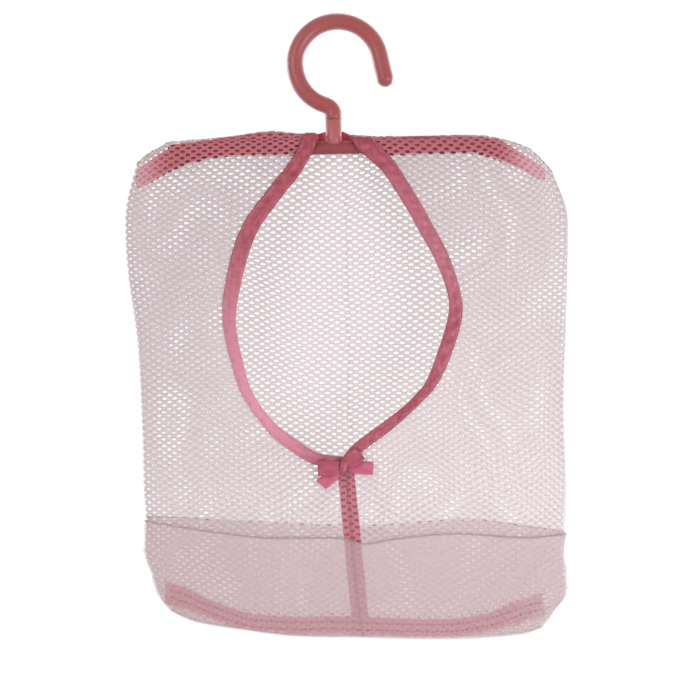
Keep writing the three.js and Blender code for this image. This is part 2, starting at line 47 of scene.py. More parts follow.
shot = {
    "lens": 85,
    "distance": 963.3,
    "aim": (1.4, 0, -186.15),
    "roll": 1.1,            # the photograph's object hangs turned by this many degrees
}
studio = {
    "ambient": 0.6,         # the world's light on the object
    "lamps": [              # place, size and power in watts
        ((-900, -1300, 300), 900, 6.5),
        ((1000, -1100, -500), 900, 9),
        ((900, 700, -50), 500, 5),
        ((-900, 700, 0), 500, 4),
        ((200, 900, 900), 900, 5),
    ],
    "floorRadius": 700,
    "floorLevel": -620,
    "floorColour": "#f4f4f4",
}


def addCamera():
    data = bpy.data.cameras.new("camera")
    data.lens = shot["lens"]
    camera = bpy.data.objects.new("camera", data)
    bpy.context.scene.collection.objects.link(camera)
    bpy.context.scene.camera = camera
    camera.location = (Vector(shot["aim"]) - Vector((0, shot["distance"], 0))) * mm
    camera.rotation_euler = (math.radians(90), math.radians(shot["roll"]), 0)


def addLamps():
    middle = Vector(shot["aim"]) * mm
    for place, size, power in studio["lamps"]:
        data = bpy.data.lights.new("softbox", "AREA")
        data.shape = "DISK"
        data.size = size * mm
        data.energy = power
        lamp = bpy.data.objects.new("softbox", data)
        bpy.context.scene.collection.objects.link(lamp)
        lamp.location = Vector(place) * mm
        lamp.rotation_euler = (middle - lamp.location).to_track_quat("-Z", "Y").to_euler()


def fromHex(code):   # an sRGB hex value as linear colour
    parts = [int(code[i:i + 2], 16) / 255 for i in (1, 3, 5)]
    return tuple(p / 12.92 if p <= 0.04045 else ((p + 0.055) / 1.055) ** 2.4 for p in parts) + (1,)


def addNode(tree, kind, settings=None, links=None):   # one node, its values or hex colours, and what it reads
    node = tree.nodes.new(kind)
    for name, value in (settings or {}).items():
        if isinstance(name, str) and hasattr(node, name):
            setattr(node, name, value)
        else:
            node.inputs[name].default_value = fromHex(value) if isinstance(value, str) else value
    for name, source in (links or {}).items():
        tree.links.new(source, node.inputs[name])
    return node


def addWorld():
    world = bpy.data.worlds.new("white_studio")
    bpy.context.scene.world = world
    world.use_nodes = True
    tree = world.node_tree
    tree.nodes.clear()
    ray = addNode(tree, "ShaderNodeLightPath")
    seen = addNode(tree, "ShaderNodeMath", {"operation": "MAXIMUM"},
                   {0: ray.outputs["Is Camera Ray"], 1: ray.outputs["Is Glossy Ray"]})
    white = addNode(tree, "ShaderNodeMath", {"operation": "MAXIMUM"},
                    {0: seen.outputs[0], 1: ray.outputs["Is Transmission Ray"]})
    ambient = addNode(tree, "ShaderNodeBackground", {"Color": (1, 1, 1, 1), "Strength": studio["ambient"]})
    backdrop = addNode(tree, "ShaderNodeBackground", {"Color": (1, 1, 1, 1), "Strength": 1})
    mixed = addNode(tree, "ShaderNodeMixShader",
                    links={0: white.outputs[0], 1: ambient.outputs[0], 2: backdrop.outputs[0]})
    addNode(tree, "ShaderNodeOutputWorld", links={"Surface": mixed.outputs[0]})


addCamera()
addLamps()
addWorld()
bpy.context.scene.view_settings.view_transform = "Standard"
print("camera, lamps and world are set")


# Materials

def newMaterial(name, settings):
    material = bpy.data.materials.new(name)
    material.use_nodes = True
    tree = material.node_tree
    tree.nodes.clear()
    shader = addNode(tree, "ShaderNodeBsdfPrincipled", settings)
    addNode(tree, "ShaderNodeOutputMaterial", links={"Surface": shader.outputs[0]})
    return material, tree, shader


def dress(tree, shader, colour, height, strength, depth):   # joins a colour and a relief to the shader
    relief = addNode(tree, "ShaderNodeBump", {"Strength": strength, "Distance": depth * mm},
                     {"Height": height})
    tree.links.new(colour, shader.inputs["Base Color"])
    tree.links.new(relief.outputs[0], shader.inputs["Normal"])


waveStep = 0.31   # a Wave texture of scale 1 has a band about every 0.31 units


# Polypropylene, injection moulded: an even, slightly waxy body, with edges that turn pale in glancing light
plastic = {
    "hook": {"colour": "#9b3e3c", "flow": "#913637", "bloom": 1, "coat": 0.6, "specular": 0.35},
    # The boss and the bar are one moulding in two colours: the boss's lighter colour is painted light where
    # it stands clear, and the bar's darker one is painted shade among the cloth.
    "boss": {"colour": "#ae5156", "flow": "#a3484e", "bloom": 1, "coat": 0.6, "specular": 0.35},
    "bar": {"colour": "#984e50", "flow": "#8d4649", "bloom": 0, "coat": 0, "specular": 0.1},   # cloth rubs it
    "roughness": 0.5,
    "coatRoughness": 0.3,
    "bloomRoughness": 0.45,
    "bloomTint": "#ffe6e6",
    "flowSize": 9,
    "grainSize": 0.5,
    "relief": (0.03, 0.05),             # strength, and depth in millimetres
}


def mouldedPolypropylene(name):
    kind = plastic[name]
    material, tree, shader = newMaterial("moulded_polypropylene_" + name, {
        "Roughness": plastic["roughness"], "IOR": 1.49, "Specular IOR Level": kind["specular"],
        "Coat Weight": kind["coat"], "Coat Roughness": plastic["coatRoughness"],
        "Sheen Weight": kind["bloom"], "Sheen Roughness": plastic["bloomRoughness"],
        "Sheen Tint": plastic["bloomTint"]})
    place = addNode(tree, "ShaderNodeTexCoord").outputs["Object"]
    flow, grain = [addNode(tree, "ShaderNodeTexNoise", {"Scale": 1 / (size * mm), "Detail": detail},
                           {"Vector": place}).outputs["Fac"]
                   for size, detail in ((plastic["flowSize"], 3), (plastic["grainSize"], 2))]
    colour = addNode(tree, "ShaderNodeMix", {"data_type": "RGBA", 6: kind["colour"], 7: kind["flow"]},
                     {0: flow})
    dress(tree, shader, colour.outputs[2], grain, *plastic["relief"])
    return material


def paleSides(tree, colour, pale, near, far):   # fades a colour towards both sides of the bag
    place = addNode(tree, "ShaderNodeTexCoord").outputs["Object"]
    away = addNode(tree, "ShaderNodeVectorMath", {"operation": "ABSOLUTE"}, {0: place})
    across = addNode(tree, "ShaderNodeSeparateXYZ", links={0: away.outputs[0]})
    share = addNode(tree, "ShaderNodeMapRange",
                    {"interpolation_type": "SMOOTHSTEP", 1: near * mm, 2: far * mm}, {0: across.outputs["X"]})
    return addNode(tree, "ShaderNodeMix", {"data_type": "RGBA", 7: pale},
                   {0: share.outputs[0], 6: colour}).outputs[2]


# Polyester yarn, warp knitted: matt, with the twist of its filaments, and thin enough to show what is behind
yarn = {
    "open": {"light": "#decdd1", "dark": "#c0aeb3", "paintedBright": "#eee0e3"},
    "veilShade": {"light": "#d4bec3", "dark": "#baa4aa", "paintedBright": "#dcc8cc"},   # painted shade: darker before the back's sheer cloth, which keeps light from behind out
    "sewn": {"light": "#df858f", "dark": "#be6972", "paintedBright": "#e29aa6"},     # over a pink tape: painted pink light, which the tape throws into the yarn
    "paintedBrightWay": (0.45, 0, -0.9),       # painted light: the yarn turns lighter low down and to the right, where more light falls
    "paintedBrightRange": (0.09, 0.31),
    "cover": 0.5,                       # of each of a yarn's two faces
    "twistStep": 0.55,
    "fuzzSize": 0.35,
    "relief": (0.5, 0.12),
    "edge": 0.2,                        # how softly the painted shade and the painted tape light end
    "veilShadeReach": 2,                     # how far above the back's hem the painted shade begins
    "pale": ("#e6bcc3", 98, 122),       # its painted tape light fades towards the side folds
}


def knittedPolyester():
    material, tree, shader = newMaterial("knitted_polyester", {
        "Roughness": 0.75, "Sheen Weight": 0.15, "Sheen Roughness": 0.5, "Alpha": yarn["cover"]})
    place = addNode(tree, "ShaderNodeTexCoord").outputs["Object"]
    twist = addNode(tree, "ShaderNodeTexWave",
                    {"bands_direction": "DIAGONAL", "Scale": waveStep / (yarn["twistStep"] * mm),
                     "Distortion": 4, "Detail": 1, "Detail Scale": 1.5}, {"Vector": place}).outputs["Fac"]
    fuzz = addNode(tree, "ShaderNodeTexNoise", {"Scale": 1 / (yarn["fuzzSize"] * mm), "Detail": 2},
                   {"Vector": place})
    tone = addNode(tree, "ShaderNodeMath", {"operation": "MULTIPLY"}, {0: twist, 1: fuzz.outputs["Fac"]})
    # painted light: the yarn's colour turns lighter towards the lower right
    way = addNode(tree, "ShaderNodeVectorMath", {"operation": "DOT_PRODUCT", 1: yarn["paintedBrightWay"]},
                  {0: place})
    low, high = yarn["paintedBrightRange"]
    paintedBright = addNode(tree, "ShaderNodeMapRange", {1: low, 2: high}, {0: way.outputs["Value"]})
    colours = {}
    for state in ("open", "veilShade", "sewn"):
        kind = yarn[state]
        plain = addNode(tree, "ShaderNodeMix", {"data_type": "RGBA", 6: kind["light"], 7: kind["dark"]},
                        {0: tone.outputs[0]})
        colours[state] = addNode(tree, "ShaderNodeMix", {"data_type": "RGBA", 7: kind["paintedBright"]},
                                 {0: paintedBright.outputs[0], 6: plain.outputs[2]}).outputs[2]
    colours["sewn"] = paleSides(tree, colours["sewn"], *yarn["pale"])
    colour = colours["open"]
    for state in ("veilShade", "sewn"):
        reach = addNode(tree, "ShaderNodeAttribute", {"attribute_name": state}).outputs["Fac"]
        share = addNode(tree, "ShaderNodeMapRange", {1: -yarn["edge"], 2: yarn["edge"]}, {0: reach})
        colour = addNode(tree, "ShaderNodeMix", {"data_type": "RGBA"},
                         {0: share.outputs[0], 6: colour, 7: colours[state]}).outputs[2]
    dress(tree, shader, colour, twist, *yarn["relief"])
    return material


# Organza, plain woven from fine polyester: sheer, with a soft grey bloom where its layers meet
organza = {
    "warp": "#e9d2d2",
    "weft": "#d6bbbe",
    "threadStep": 0.9,      # drawn coarser than the real 0.2 mm, so that it shows
    "cover": 0.26,          # of each of its two faces
    "relief": (0.25, 0.05),
}


def wovenOrganza():
    material, tree, shader = newMaterial("woven_organza", {
        "Roughness": 0.55, "Sheen Weight": 0.2, "Sheen Roughness": 0.4, "Alpha": organza["cover"]})
    place = addNode(tree, "ShaderNodeTexCoord").outputs["UV"]
    scale = waveStep / organza["threadStep"]
    warp, weft = [addNode(tree, "ShaderNodeTexWave",
                          {"bands_direction": way, "Scale": scale, "Distortion": 0.6},
                          {"Vector": place}).outputs["Fac"] for way in ("X", "Y")]
    weave = addNode(tree, "ShaderNodeMath", {"operation": "MULTIPLY"}, {0: warp, 1: weft}).outputs[0]
    colour = addNode(tree, "ShaderNodeMix", {"data_type": "RGBA", 6: organza["weft"], 7: organza["warp"]},
                     {0: weave})
    dress(tree, shader, colour.outputs[2], weave, *organza["relief"])
    return material


# Polyester tape and ribbon, woven on a needle loom: fine cross ribs, and a satin face on the bindings
tapes = {   # light and dark colour, roughness, and the spacing of the ribs
    "binding": ("#b54d60", "#822436", 0.42, 0.7),
    # The top, centre and bottom seam tapes are one tape in three colours: their differences are painted shade
    # and light, darkest over the bar and lightest at the bottom.
    "topSeam": ("#a03a50", "#7d263a", 0.6, 0.8),
    "seam": ("#c0647b", "#a34d67", 0.6, 0.8),
    "bottom": ("#d97c94", "#c2667e", 0.6, 0.8),
    "neck": ("#ec5c7e", "#c84465", 0.5, 0.7),
    "ribbon": ("#b64f66", "#93354a", 0.38, 0.55),
    # the tails are the same ribbon in a lighter colour: painted light on them
    "ribbonTail": ("#cf6784", "#b24d67", 0.38, 0.55),
    "frontHem": ("#b8a0a7", "#9b8189", 0.6, 0.5),
    "backHem": ("#d8c5ca", "#c6b0b6", 0.6, 0.5),
    "thread": ("#d98c9b", "#c67786", 0.5, 0.4),
    "seamThread": ("#c66c86", "#ae5872", 0.5, 0.4),
    "knotThread": ("#cdb596", "#a98b78", 0.5, 0.4),
}
tapeFinish = {
    "relief": (0.3, 0.08),
    "pale": {"topSeam": ("#dfa3ae", 92, 118), "bottom": ("#d9aab0", 92, 116)},   # towards the bag's sides
    "paintedLight": "#de94a8",      # painted light: the pale colour that the bindings take where they face the light
    "streaks": (0.4, 0.13, 1),
    "toneRange": (0.42, 0.88),
}


def wovenTape(name):
    light, dark, roughness, ribStep = tapes[name]
    material, tree, shader = newMaterial(name + "_tape", {
        "Roughness": roughness, "Sheen Weight": 0.25, "Sheen Roughness": 0.35})
    place = addNode(tree, "ShaderNodeTexCoord").outputs["UV"]
    ribs = addNode(tree, "ShaderNodeTexWave",
                   {"bands_direction": "Y", "Scale": waveStep / ribStep, "Distortion": 0.8},
                   {"Vector": place}).outputs["Fac"]
    drawn = addNode(tree, "ShaderNodeVectorMath", {"operation": "MULTIPLY", 1: tapeFinish["streaks"]},
                    {0: place})
    shade = addNode(tree, "ShaderNodeTexNoise", {"Scale": 1, "Detail": 3, "Distortion": 0.5},
                    {"Vector": drawn.outputs[0]})
    tone = addNode(tree, "ShaderNodeMath", {"operation": "MULTIPLY_ADD", 1: 0.3},
                   {0: ribs, 2: shade.outputs["Fac"]})
    low, high = tapeFinish["toneRange"]
    clear = addNode(tree, "ShaderNodeMapRange", {1: low, 2: high}, {0: tone.outputs[0]})
    colour = addNode(tree, "ShaderNodeMix", {"data_type": "RGBA", 6: dark, 7: light},
                     {0: clear.outputs[0]}).outputs[2]
    if name in tapeFinish["pale"]:
        colour = paleSides(tree, colour, *tapeFinish["pale"][name])
    # painted light: the binding turns pale where it faces the light, and stays dark red in shade at its top
    if name == "binding":
        paintedLight = addNode(tree, "ShaderNodeAttribute", {"attribute_name": "paintedLight"}).outputs["Fac"]
        colour = addNode(tree, "ShaderNodeMix", {"data_type": "RGBA", 7: tapeFinish["paintedLight"]},
                         {0: paintedLight, 6: colour}).outputs[2]
    dress(tree, shader, colour, ribs, *tapeFinish["relief"])
    return material


materials = {name: mouldedPolypropylene(name) for name in ("hook", "boss", "bar")}
materials["net"] = knittedPolyester()
materials["organza"] = wovenOrganza()
materials.update({name: wovenTape(name) for name in tapes})
print("materials are made")


# Shape of the bag, close to the part's source

bag = {
    "width": 262.8,
    "height": 299.7,
    "shift": 6.6,
    "ridgeTop": -65.8,
    "sleeveRadius": 5,
    "bellyDepth": 14,
    "sideRound": 20,
    "hemRound": 12,
    "barLevel": -70.8,
    "mouthWidth": 136,
    "mouthDrop": 193,
    "mouthShift": 3,
    "seamLean": 8.2,
}
leftSideShares = [
    (0, -0.95), (0.09, -0.996), (0.17, -1.002), (0.25, -0.993), (0.4, -0.957), (0.6, -0.942),
    (0.72, -0.94), (0.8, -0.933), (0.85, -0.94), (0.875, -0.936), (0.9, -0.914), (0.93, -0.901),
    (0.96, -0.884), (1, -0.832),
]
rightSideShares = [
    (0, 0.942), (0.08, 1), (0.14, 1.005), (0.33, 0.988), (0.52, 0.968), (0.7, 0.971), (0.79, 0.958),
    (0.86, 0.952), (0.92, 0.962), (0.96, 0.908), (1, 0.856),
]
ridgeShares = [
    (-0.95, 0.042), (-0.89, 0.021), (-0.84, 0.01), (-0.8, 0), (-0.77, 0),
    (0.62, 0), (0.67, 0.003), (0.71, 0.007), (0.777, 0.016), (0.84, 0.028), (0.88, 0.044), (0.942, 0.075),
]
bottomShares = [
    (-0.825, 0.936), (-0.72, 0.956), (-0.515, 0.973), (-0.28, 0.988),
    (0, 0.993), (0.46, 1), (0.76, 0.993), (0.856, 0.982),
]
mouthLeftShares = [
    (-0.2, -0.011), (-0.226, 0), (-0.291, 0.045), (-0.426, 0.103), (-0.6, 0.165), (-0.803, 0.274),
    (-0.966, 0.447), (-1, 0.545), (-0.915, 0.711), (-0.822, 0.8), (-0.647, 0.884), (-0.465, 0.938),
    (-0.259, 0.985), (0, 1),
]
mouthRightShares = [
    (0.105, -0.011), (0.126, 0), (0.203, 0.039), (0.432, 0.102), (0.615, 0.189), (0.766, 0.288),
    (0.893, 0.377), (0.985, 0.48), (0.985, 0.56), (0.885, 0.693), (0.775, 0.769), (0.634, 0.816),
    (0.368, 0.888), (0.11, 0.954), (0, 1),
]
frontHemShares = [
    (-0.93, 0.754), (-0.65, 0.774), (-0.4, 0.787), (-0.06, 0.791), (0.055, 0.803), (0.2, 0.793),
    (0.46, 0.787), (0.77, 0.799), (0.96, 0.796),
]
backHemShares = [
    (-0.93, 0.748), (-0.43, 0.766), (0, 0.778), (0.3, 0.774), (0.53, 0.768), (0.82, 0.785), (0.96, 0.794),
]
ridgeRise = [   # how far the slack net stands above the bar's sleeve, by place across
    (-95, 0), (-62, 2.6), (-38, 5.4), (-20, 3.5), (0, 2.4), (10, 1.6), (18, 0.8), (36, 0.5), (46, 0.1),
    (70, 0.5), (95, 0),
]


def readTable(table, values):   # a smooth curve through a table's points
    keys, levels = np.array(table, float).T
    before = np.maximum(np.arange(len(keys)) - 1, 0)
    after = np.minimum(np.arange(len(keys)) + 1, len(keys) - 1)
    slopes = (levels[after] - levels[before]) / (keys[after] - keys[before])
    values = np.clip(values, keys[0], keys[-1])
    i = np.clip(np.searchsorted(keys, values) - 1, 0, len(keys) - 2)
    span = keys[i + 1] - keys[i]
    t = (values - keys[i]) / span
    rise = levels[i + 1] - levels[i]
    start = slopes[i] * span
    end = slopes[i + 1] * span
    return levels[i] + start * t + (3 * rise - 2 * start - end) * t**2 + (start + end - 2 * rise) * t**3


def readColumn(table, k, values):   # the same, for one column of a wider table
    return readTable([(row[0], row[k]) for row in table], values)


def lerp(a, b, t):
    return a + (b - a) * t


def smoothStep(value, low, high):
    t = np.clip((value - low) / (high - low), 0, 1)
    return t * t * (3 - 2 * t)


def levelAt(table, x):   # of a line across the bag, whose table gives shares of the bag's height
    across = (x - bag["shift"]) / (bag["width"] / 2)
    return bag["ridgeTop"] - bag["height"] * readTable(table, across)


def ridgeAt(x):
    return levelAt(ridgeShares, x) + readTable(ridgeRise, x)


def bottomAt(x):
    return levelAt(bottomShares, x)


def foldAt(table, fall):   # where a side fold lies, at a share of the way down
    return bag["shift"] + readTable(table, fall) * bag["width"] / 2


def roundOff(distance, radius):
    return np.sqrt(1 - (1 - np.clip(distance / radius, 0, 1)) ** 2)


def depthAt(x, z):   # half the bag's inside depth
    ridge = ridgeAt(x)
    bottom = bottomAt(x)
    fall = np.clip((ridge - z) / (ridge - bottom), 0, 1)
    left = foldAt(leftSideShares, fall)
    right = foldAt(rightSideShares, fall)
    across = (2 * x - left - right) / (right - left)
    swell = bag["bellyDepth"] * np.sin(math.pi * fall) * np.maximum(1 - across**2, 0)
    over = roundOff(ridge - z, bag["sleeveRadius"])
    under = roundOff(z - bottom, bag["hemRound"])
    beside = roundOff(np.minimum(x - left, right - x), bag["sideRound"])
    return (bag["sleeveRadius"] + swell) * over * under * beside


def wallPoints(side, x, z, lift):   # on the front wall (side -1) or the back wall (side 1), lifted outwards
    step = 0.4
    slopeX = (depthAt(x + step, z) - depthAt(x - step, z)) / (2 * step)
    slopeZ = (depthAt(x, z + step) - depthAt(x, z - step)) / (2 * step)
    outward = np.stack([-slopeX, np.full_like(x, side), -slopeZ], axis=-1)
    outward /= np.linalg.norm(outward, axis=-1, keepdims=True)
    return np.stack([x, side * depthAt(x, z), z], axis=-1) + outward * np.reshape(lift, (-1, 1))


pleats = {
    "lift": 0.9,
    "step": 13,             # a pleat repeats after this times 2 pi
    "below": (12, 60),      # they start between these drops from the ridge
    "above": (0, 25),       # and end between these heights over the bottom
    "creaseLift": 1.1,      # the creases lie in the right bottom corner
    "creaseStep": 2.6,
    "creaseLean": 0.7,
    "creaseAcross": (70, 125),
    "creaseBelow": (225, 265),
    "creaseAbove": (0, 8),
}


def slack(side, x, z):   # soft pleats and creases that lift the cloth off its even shape
    drop = bag["ridgeTop"] - z
    rise = z - bottomAt(x)
    hang = smoothStep(drop, *pleats["below"]) * smoothStep(rise, *pleats["above"])
    folds = 0.5 + 0.5 * np.sin(x / pleats["step"] + side + 0.6 * np.sin(drop / 47))
    corner = smoothStep(x, *pleats["creaseAcross"]) * smoothStep(drop, *pleats["creaseBelow"])
    creases = 0.5 + 0.5 * np.sin((x + pleats["creaseLean"] * drop) / pleats["creaseStep"])
    end = smoothStep(rise, *pleats["creaseAbove"])
    return pleats["lift"] * hang * folds + pleats["creaseLift"] * corner * creases * end


# The mouth's outline

hands = {"left": -1, "right": 1}


class MouthSide:   # a smooth line through the table's points, from the ridge down to the mouth's point
    def __init__(self, name, table):
        points = np.array([(bag["mouthShift"] + across * bag["mouthWidth"] / 2,
                            bag["ridgeTop"] - down * bag["mouthDrop"]) for across, down in table])
        steps = 40
        line = []
        for i in range(len(points) - 1):
            p = [points[max(i - 1, 0)], points[i], points[i + 1], points[min(i + 2, len(points) - 1)]]
            for t in np.arange(steps) / steps:
                startSlope = (p[2] - p[0]) / 2
                endSlope = (p[3] - p[1]) / 2
                line.append((2 * p[1] - 2 * p[2] + startSlope + endSlope) * t**3
                            + (3 * p[2] - 3 * p[1] - 2 * startSlope - endSlope) * t**2
                            + startSlope * t + p[1])
        self.line = np.array(line + [points[-1]])
        lengths = np.linalg.norm(np.diff(self.line, axis=0), axis=1)
        self.along = np.concatenate([[0], np.cumsum(lengths)])
        self.length = self.along[-1]
        self.hand = hands[name]

    def at(self, distance):   # places at a distance down the outline
        return np.stack([np.interp(distance, self.along, self.line[:, k]) for k in (0, 1)], axis=-1)

    def beside(self, distance, outwards):   # the same, moved away from the mouth
        along = self.at(distance + 0.5) - self.at(distance - 0.5)
        along /= np.linalg.norm(along, axis=-1, keepdims=True)
        square = np.stack([-along[..., 1], along[..., 0]], axis=-1) * self.hand
        return self.at(distance) + square * np.reshape(outwards, (-1, 1))

    def edgeAt(self, z):
        return np.interp(-z, -self.line[:, 1], self.line[:, 0])


mouth = {"left": MouthSide("left", mouthLeftShares), "right": MouthSide("right", mouthRightShares)}


def seamAt(z):
    share = np.clip((bag["ridgeTop"] - bag["mouthDrop"] - z) / (bag["height"] - bag["mouthDrop"]), 0, 1)
    return bag["mouthShift"] + bag["seamLean"] * share


# Helpers that make, lay and finish a piece

def newPiece(name, bm, material):
    mesh = bpy.data.meshes.new(name)
    bm.to_mesh(mesh)
    bm.free()
    mesh.polygons.foreach_set("use_smooth", [True] * len(mesh.polygons))
    mesh.materials.append(materials[material])
    piece = bpy.data.objects.new(name, mesh)
    bpy.context.scene.collection.objects.link(piece)
    return piece


def setOn(piece, body, nodes=()):   # what the piece rides on and what it stands for
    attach(piece, body)
    if nodes:
        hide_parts(*nodes)


def finishCloth(piece, thick, nodes=(), offset=-1):   # gives cloth its thickness, on the bag
    wall = piece.modifiers.new("cloth_thickness", "SOLIDIFY")
    wall.thickness = thick * mm
    wall.offset = offset
    wall.use_even_offset = False
    setOn(piece, "bag", nodes)
    return piece


def markPoints(piece, name, values):   # one value at each vertex, which the piece's material reads
    marks = piece.data.attributes.new(name, "FLOAT", "POINT")
    marks.data.foreach_set("value", np.asarray(values, dtype=np.float32))


def layVertices(bm, points):
    for vertex, point in zip(bm.verts, points):
        vertex.co = Vector(point) * mm


# A strip of cloth: place(across, along) gives its points, from 0 to 1 each way. Its UV map is in millimetres.
def layStrip(name, material, columns, rows, flat, place, paintedLight=None):
    bm = bmesh.new()
    uvs = bm.loops.layers.uv.new("UVMap")
    bmesh.ops.create_grid(bm, x_segments=columns, y_segments=rows, size=0.5, calc_uvs=True)
    for face in bm.faces:
        for loop in face.loops:
            loop[uvs].uv = ((loop.vert.co.x + 0.5) * flat[0], (loop.vert.co.y + 0.5) * flat[1])
    across = np.array([v.co.x + 0.5 for v in bm.verts])
    along = np.array([v.co.y + 0.5 for v in bm.verts])
    layVertices(bm, place(across, along))
    piece = newPiece(name, bm, material)
    # painted light and shade along the strip, which its material reads
    if paintedLight:
        markPoints(piece, "paintedLight", paintedLight(along))
    return piece


stitch = {
    "step": 3,
    "length": 2.1,
    "thick": 0.42,
}


def sewRow(name, line, thread="thread"):   # a row of stitches along a line of points
    along = np.concatenate([[0], np.cumsum(np.linalg.norm(np.diff(line, axis=0), axis=1))])
    shape = Matrix.Diagonal((stitch["length"] / 2, stitch["thick"] / 2, stitch["thick"] / 2, 1 / mm)) * mm
    bm = bmesh.new()
    for middle in np.arange(stitch["step"] / 2, along[-1], stitch["step"]):
        ends = [Vector([np.interp(middle + way * stitch["length"] / 2, along, line[:, k]) for k in range(3)])
                for way in (-1, 1)]
        turn = (ends[1] - ends[0]).to_track_quat("X", "Z").to_matrix().to_4x4()
        bmesh.ops.create_uvsphere(bm, u_segments=8, v_segments=5, radius=1,
                                  matrix=Matrix.Translation((ends[0] + ends[1]) / 2 * mm) @ turn @ shape)
    piece = newPiece(name, bm, thread)
    setOn(piece, "bag")
    return piece


# Hook: a round rod, with the swivel pin moulded on

hook = {
    "rod": 10,
    "bend": 25.6,
    "offset": 3.2,          # the crown's centre stands this far right of the stem
    "neckBend": 7,
    "tipLength": 15.2,
    "tipAngle": 12.5,
    "stemFoot": -53.9,
    "pinRod": 4.4,
    "pinNeck": 6.2,
    "headRod": 5.8,
    "headLength": 3.4,
    "jointRound": 0.35,
    "sides": 32,
    "neckSteps": 16,
    "crownSteps": 72,
    "tipSteps": 9,
    "pinSides": 24,
}


def spunProfile(bm, profile, steps):   # turns a profile of (radius, height) round the stem
    start = len(bm.verts)
    verts = [bm.verts.new((radius * mm, 0, height * mm)) for radius, height in profile]
    edges = [bm.edges.new(pair) for pair in zip(verts, verts[1:])]
    bmesh.ops.spin(bm, geom=verts + edges, cent=(0, 0, 0), axis=(0, 0, 1), angle=2 * math.pi, steps=steps,
                   use_merge=True)
    bm.verts.ensure_lookup_table()
    bmesh.ops.remove_doubles(bm, verts=bm.verts[start:], dist=0.001 * mm)


def sweep(bm, edges, **bend):   # carries a ring of edges round a bend, and returns the new ring
    made = bmesh.ops.spin(bm, geom=edges, axis=(0, 1, 0), **bend)["geom_last"]
    return [e for e in made if isinstance(e, bmesh.types.BMEdge)]


def push(bm, edges, move):   # carries a ring of edges straight on
    made = bmesh.ops.extrude_edge_only(bm, edges=edges)["geom"]
    verts = [v for v in made if isinstance(v, bmesh.types.BMVert)]
    bmesh.ops.translate(bm, verts=verts, vec=move)
    return [e for e in made if isinstance(e, bmesh.types.BMEdge)]


def vertsOf(ring):
    return list({v for e in ring for v in e.verts})


def middleOf(ring):
    return sum((v.co for e in ring for v in e.verts), Vector()) / (2 * len(ring))


def makeHook():
    radius = hook["rod"] / 2
    centre = Vector((hook["offset"], 0, radius - hook["bend"]))
    rise = math.sqrt((hook["bend"] + hook["neckBend"]) ** 2 - (hook["neckBend"] + hook["offset"]) ** 2)
    neckTurn = math.atan2(rise, hook["neckBend"] + hook["offset"])
    tipTurn = neckTurn + math.pi - math.radians(hook["tipAngle"])
    bm = bmesh.new()
    foot = bmesh.ops.create_circle(bm, segments=hook["sides"], radius=(radius - hook["jointRound"]) * mm,
                                   matrix=Matrix.Translation((0, 0, hook["stemFoot"] * mm)))["verts"]
    ring = list({e for v in foot for e in v.link_edges})
    ring = push(bm, ring, (0, 0, hook["jointRound"] * mm))
    bmesh.ops.scale(bm, verts=vertsOf(ring), vec=(radius / (radius - hook["jointRound"]),) * 2 + (1,))
    ring = push(bm, ring, (0, 0, (centre.z - rise - hook["stemFoot"] - hook["jointRound"]) * mm))
    ring = sweep(bm, ring, cent=(-hook["neckBend"] * mm, 0, (centre.z - rise) * mm),
                 angle=-neckTurn, steps=hook["neckSteps"])
    ring = sweep(bm, ring, cent=centre * mm, angle=tipTurn, steps=hook["crownSteps"])
    lean = math.radians(hook["tipAngle"])
    along = Vector((math.sin(lean), 0, -math.cos(lean)))
    ring = push(bm, ring, along * hook["tipLength"] * mm)
    tip = middleOf(ring)
    turn = math.pi / 2 / hook["tipSteps"]
    for i in range(1, hook["tipSteps"]):   # the tip is a half ball
        angle = i * turn
        share = math.cos(angle) / math.cos(angle - turn)
        middle = middleOf(ring)
        ring = push(bm, ring, (0, 0, 0))
        verts = vertsOf(ring)
        bmesh.ops.scale(bm, verts=verts, vec=(share, share, share), space=Matrix.Translation(-middle))
        bmesh.ops.translate(bm, verts=verts, vec=tip + along * radius * math.sin(angle) * mm - middle)
    bmesh.ops.edgeloop_fill(bm, edges=ring)
    bmesh.ops.edgeloop_fill(bm, edges=list({e for v in foot for e in v.link_edges if e.is_boundary}))
    bmesh.ops.recalc_face_normals(bm, faces=bm.faces[:])
    headTop = hook["stemFoot"] - hook["pinNeck"]
    spunProfile(bm, [
        (0, headTop - hook["headLength"]), (hook["pinRod"] / 2, headTop - hook["headLength"]),
        (hook["headRod"] / 2, headTop - hook["headLength"] / 2), (hook["headRod"] / 2, headTop),
        (hook["pinRod"] / 2, headTop), (hook["pinRod"] / 2, hook["stemFoot"] + 1), (0, hook["stemFoot"] + 1),
    ], hook["pinSides"])
    bmesh.ops.recalc_face_normals(bm, faces=bm.faces[:])
    setOn(newPiece("swivel_hook", bm, "hook"), "hook", ["hook"])


# Hanger bar, with the boss that holds the pin

bar = {
    "rod": 7.6,
    "length": 200,
    "bossRod": 9.5,
    "bossFoot": 2.4,
    "bossRound": 1.6,
    "bossDraw": 0.3,        # how far its side is still drawn in, part way up the round
    "swivelGap": 0.3,
    "sides": 32,
    "endSteps": 9,
}


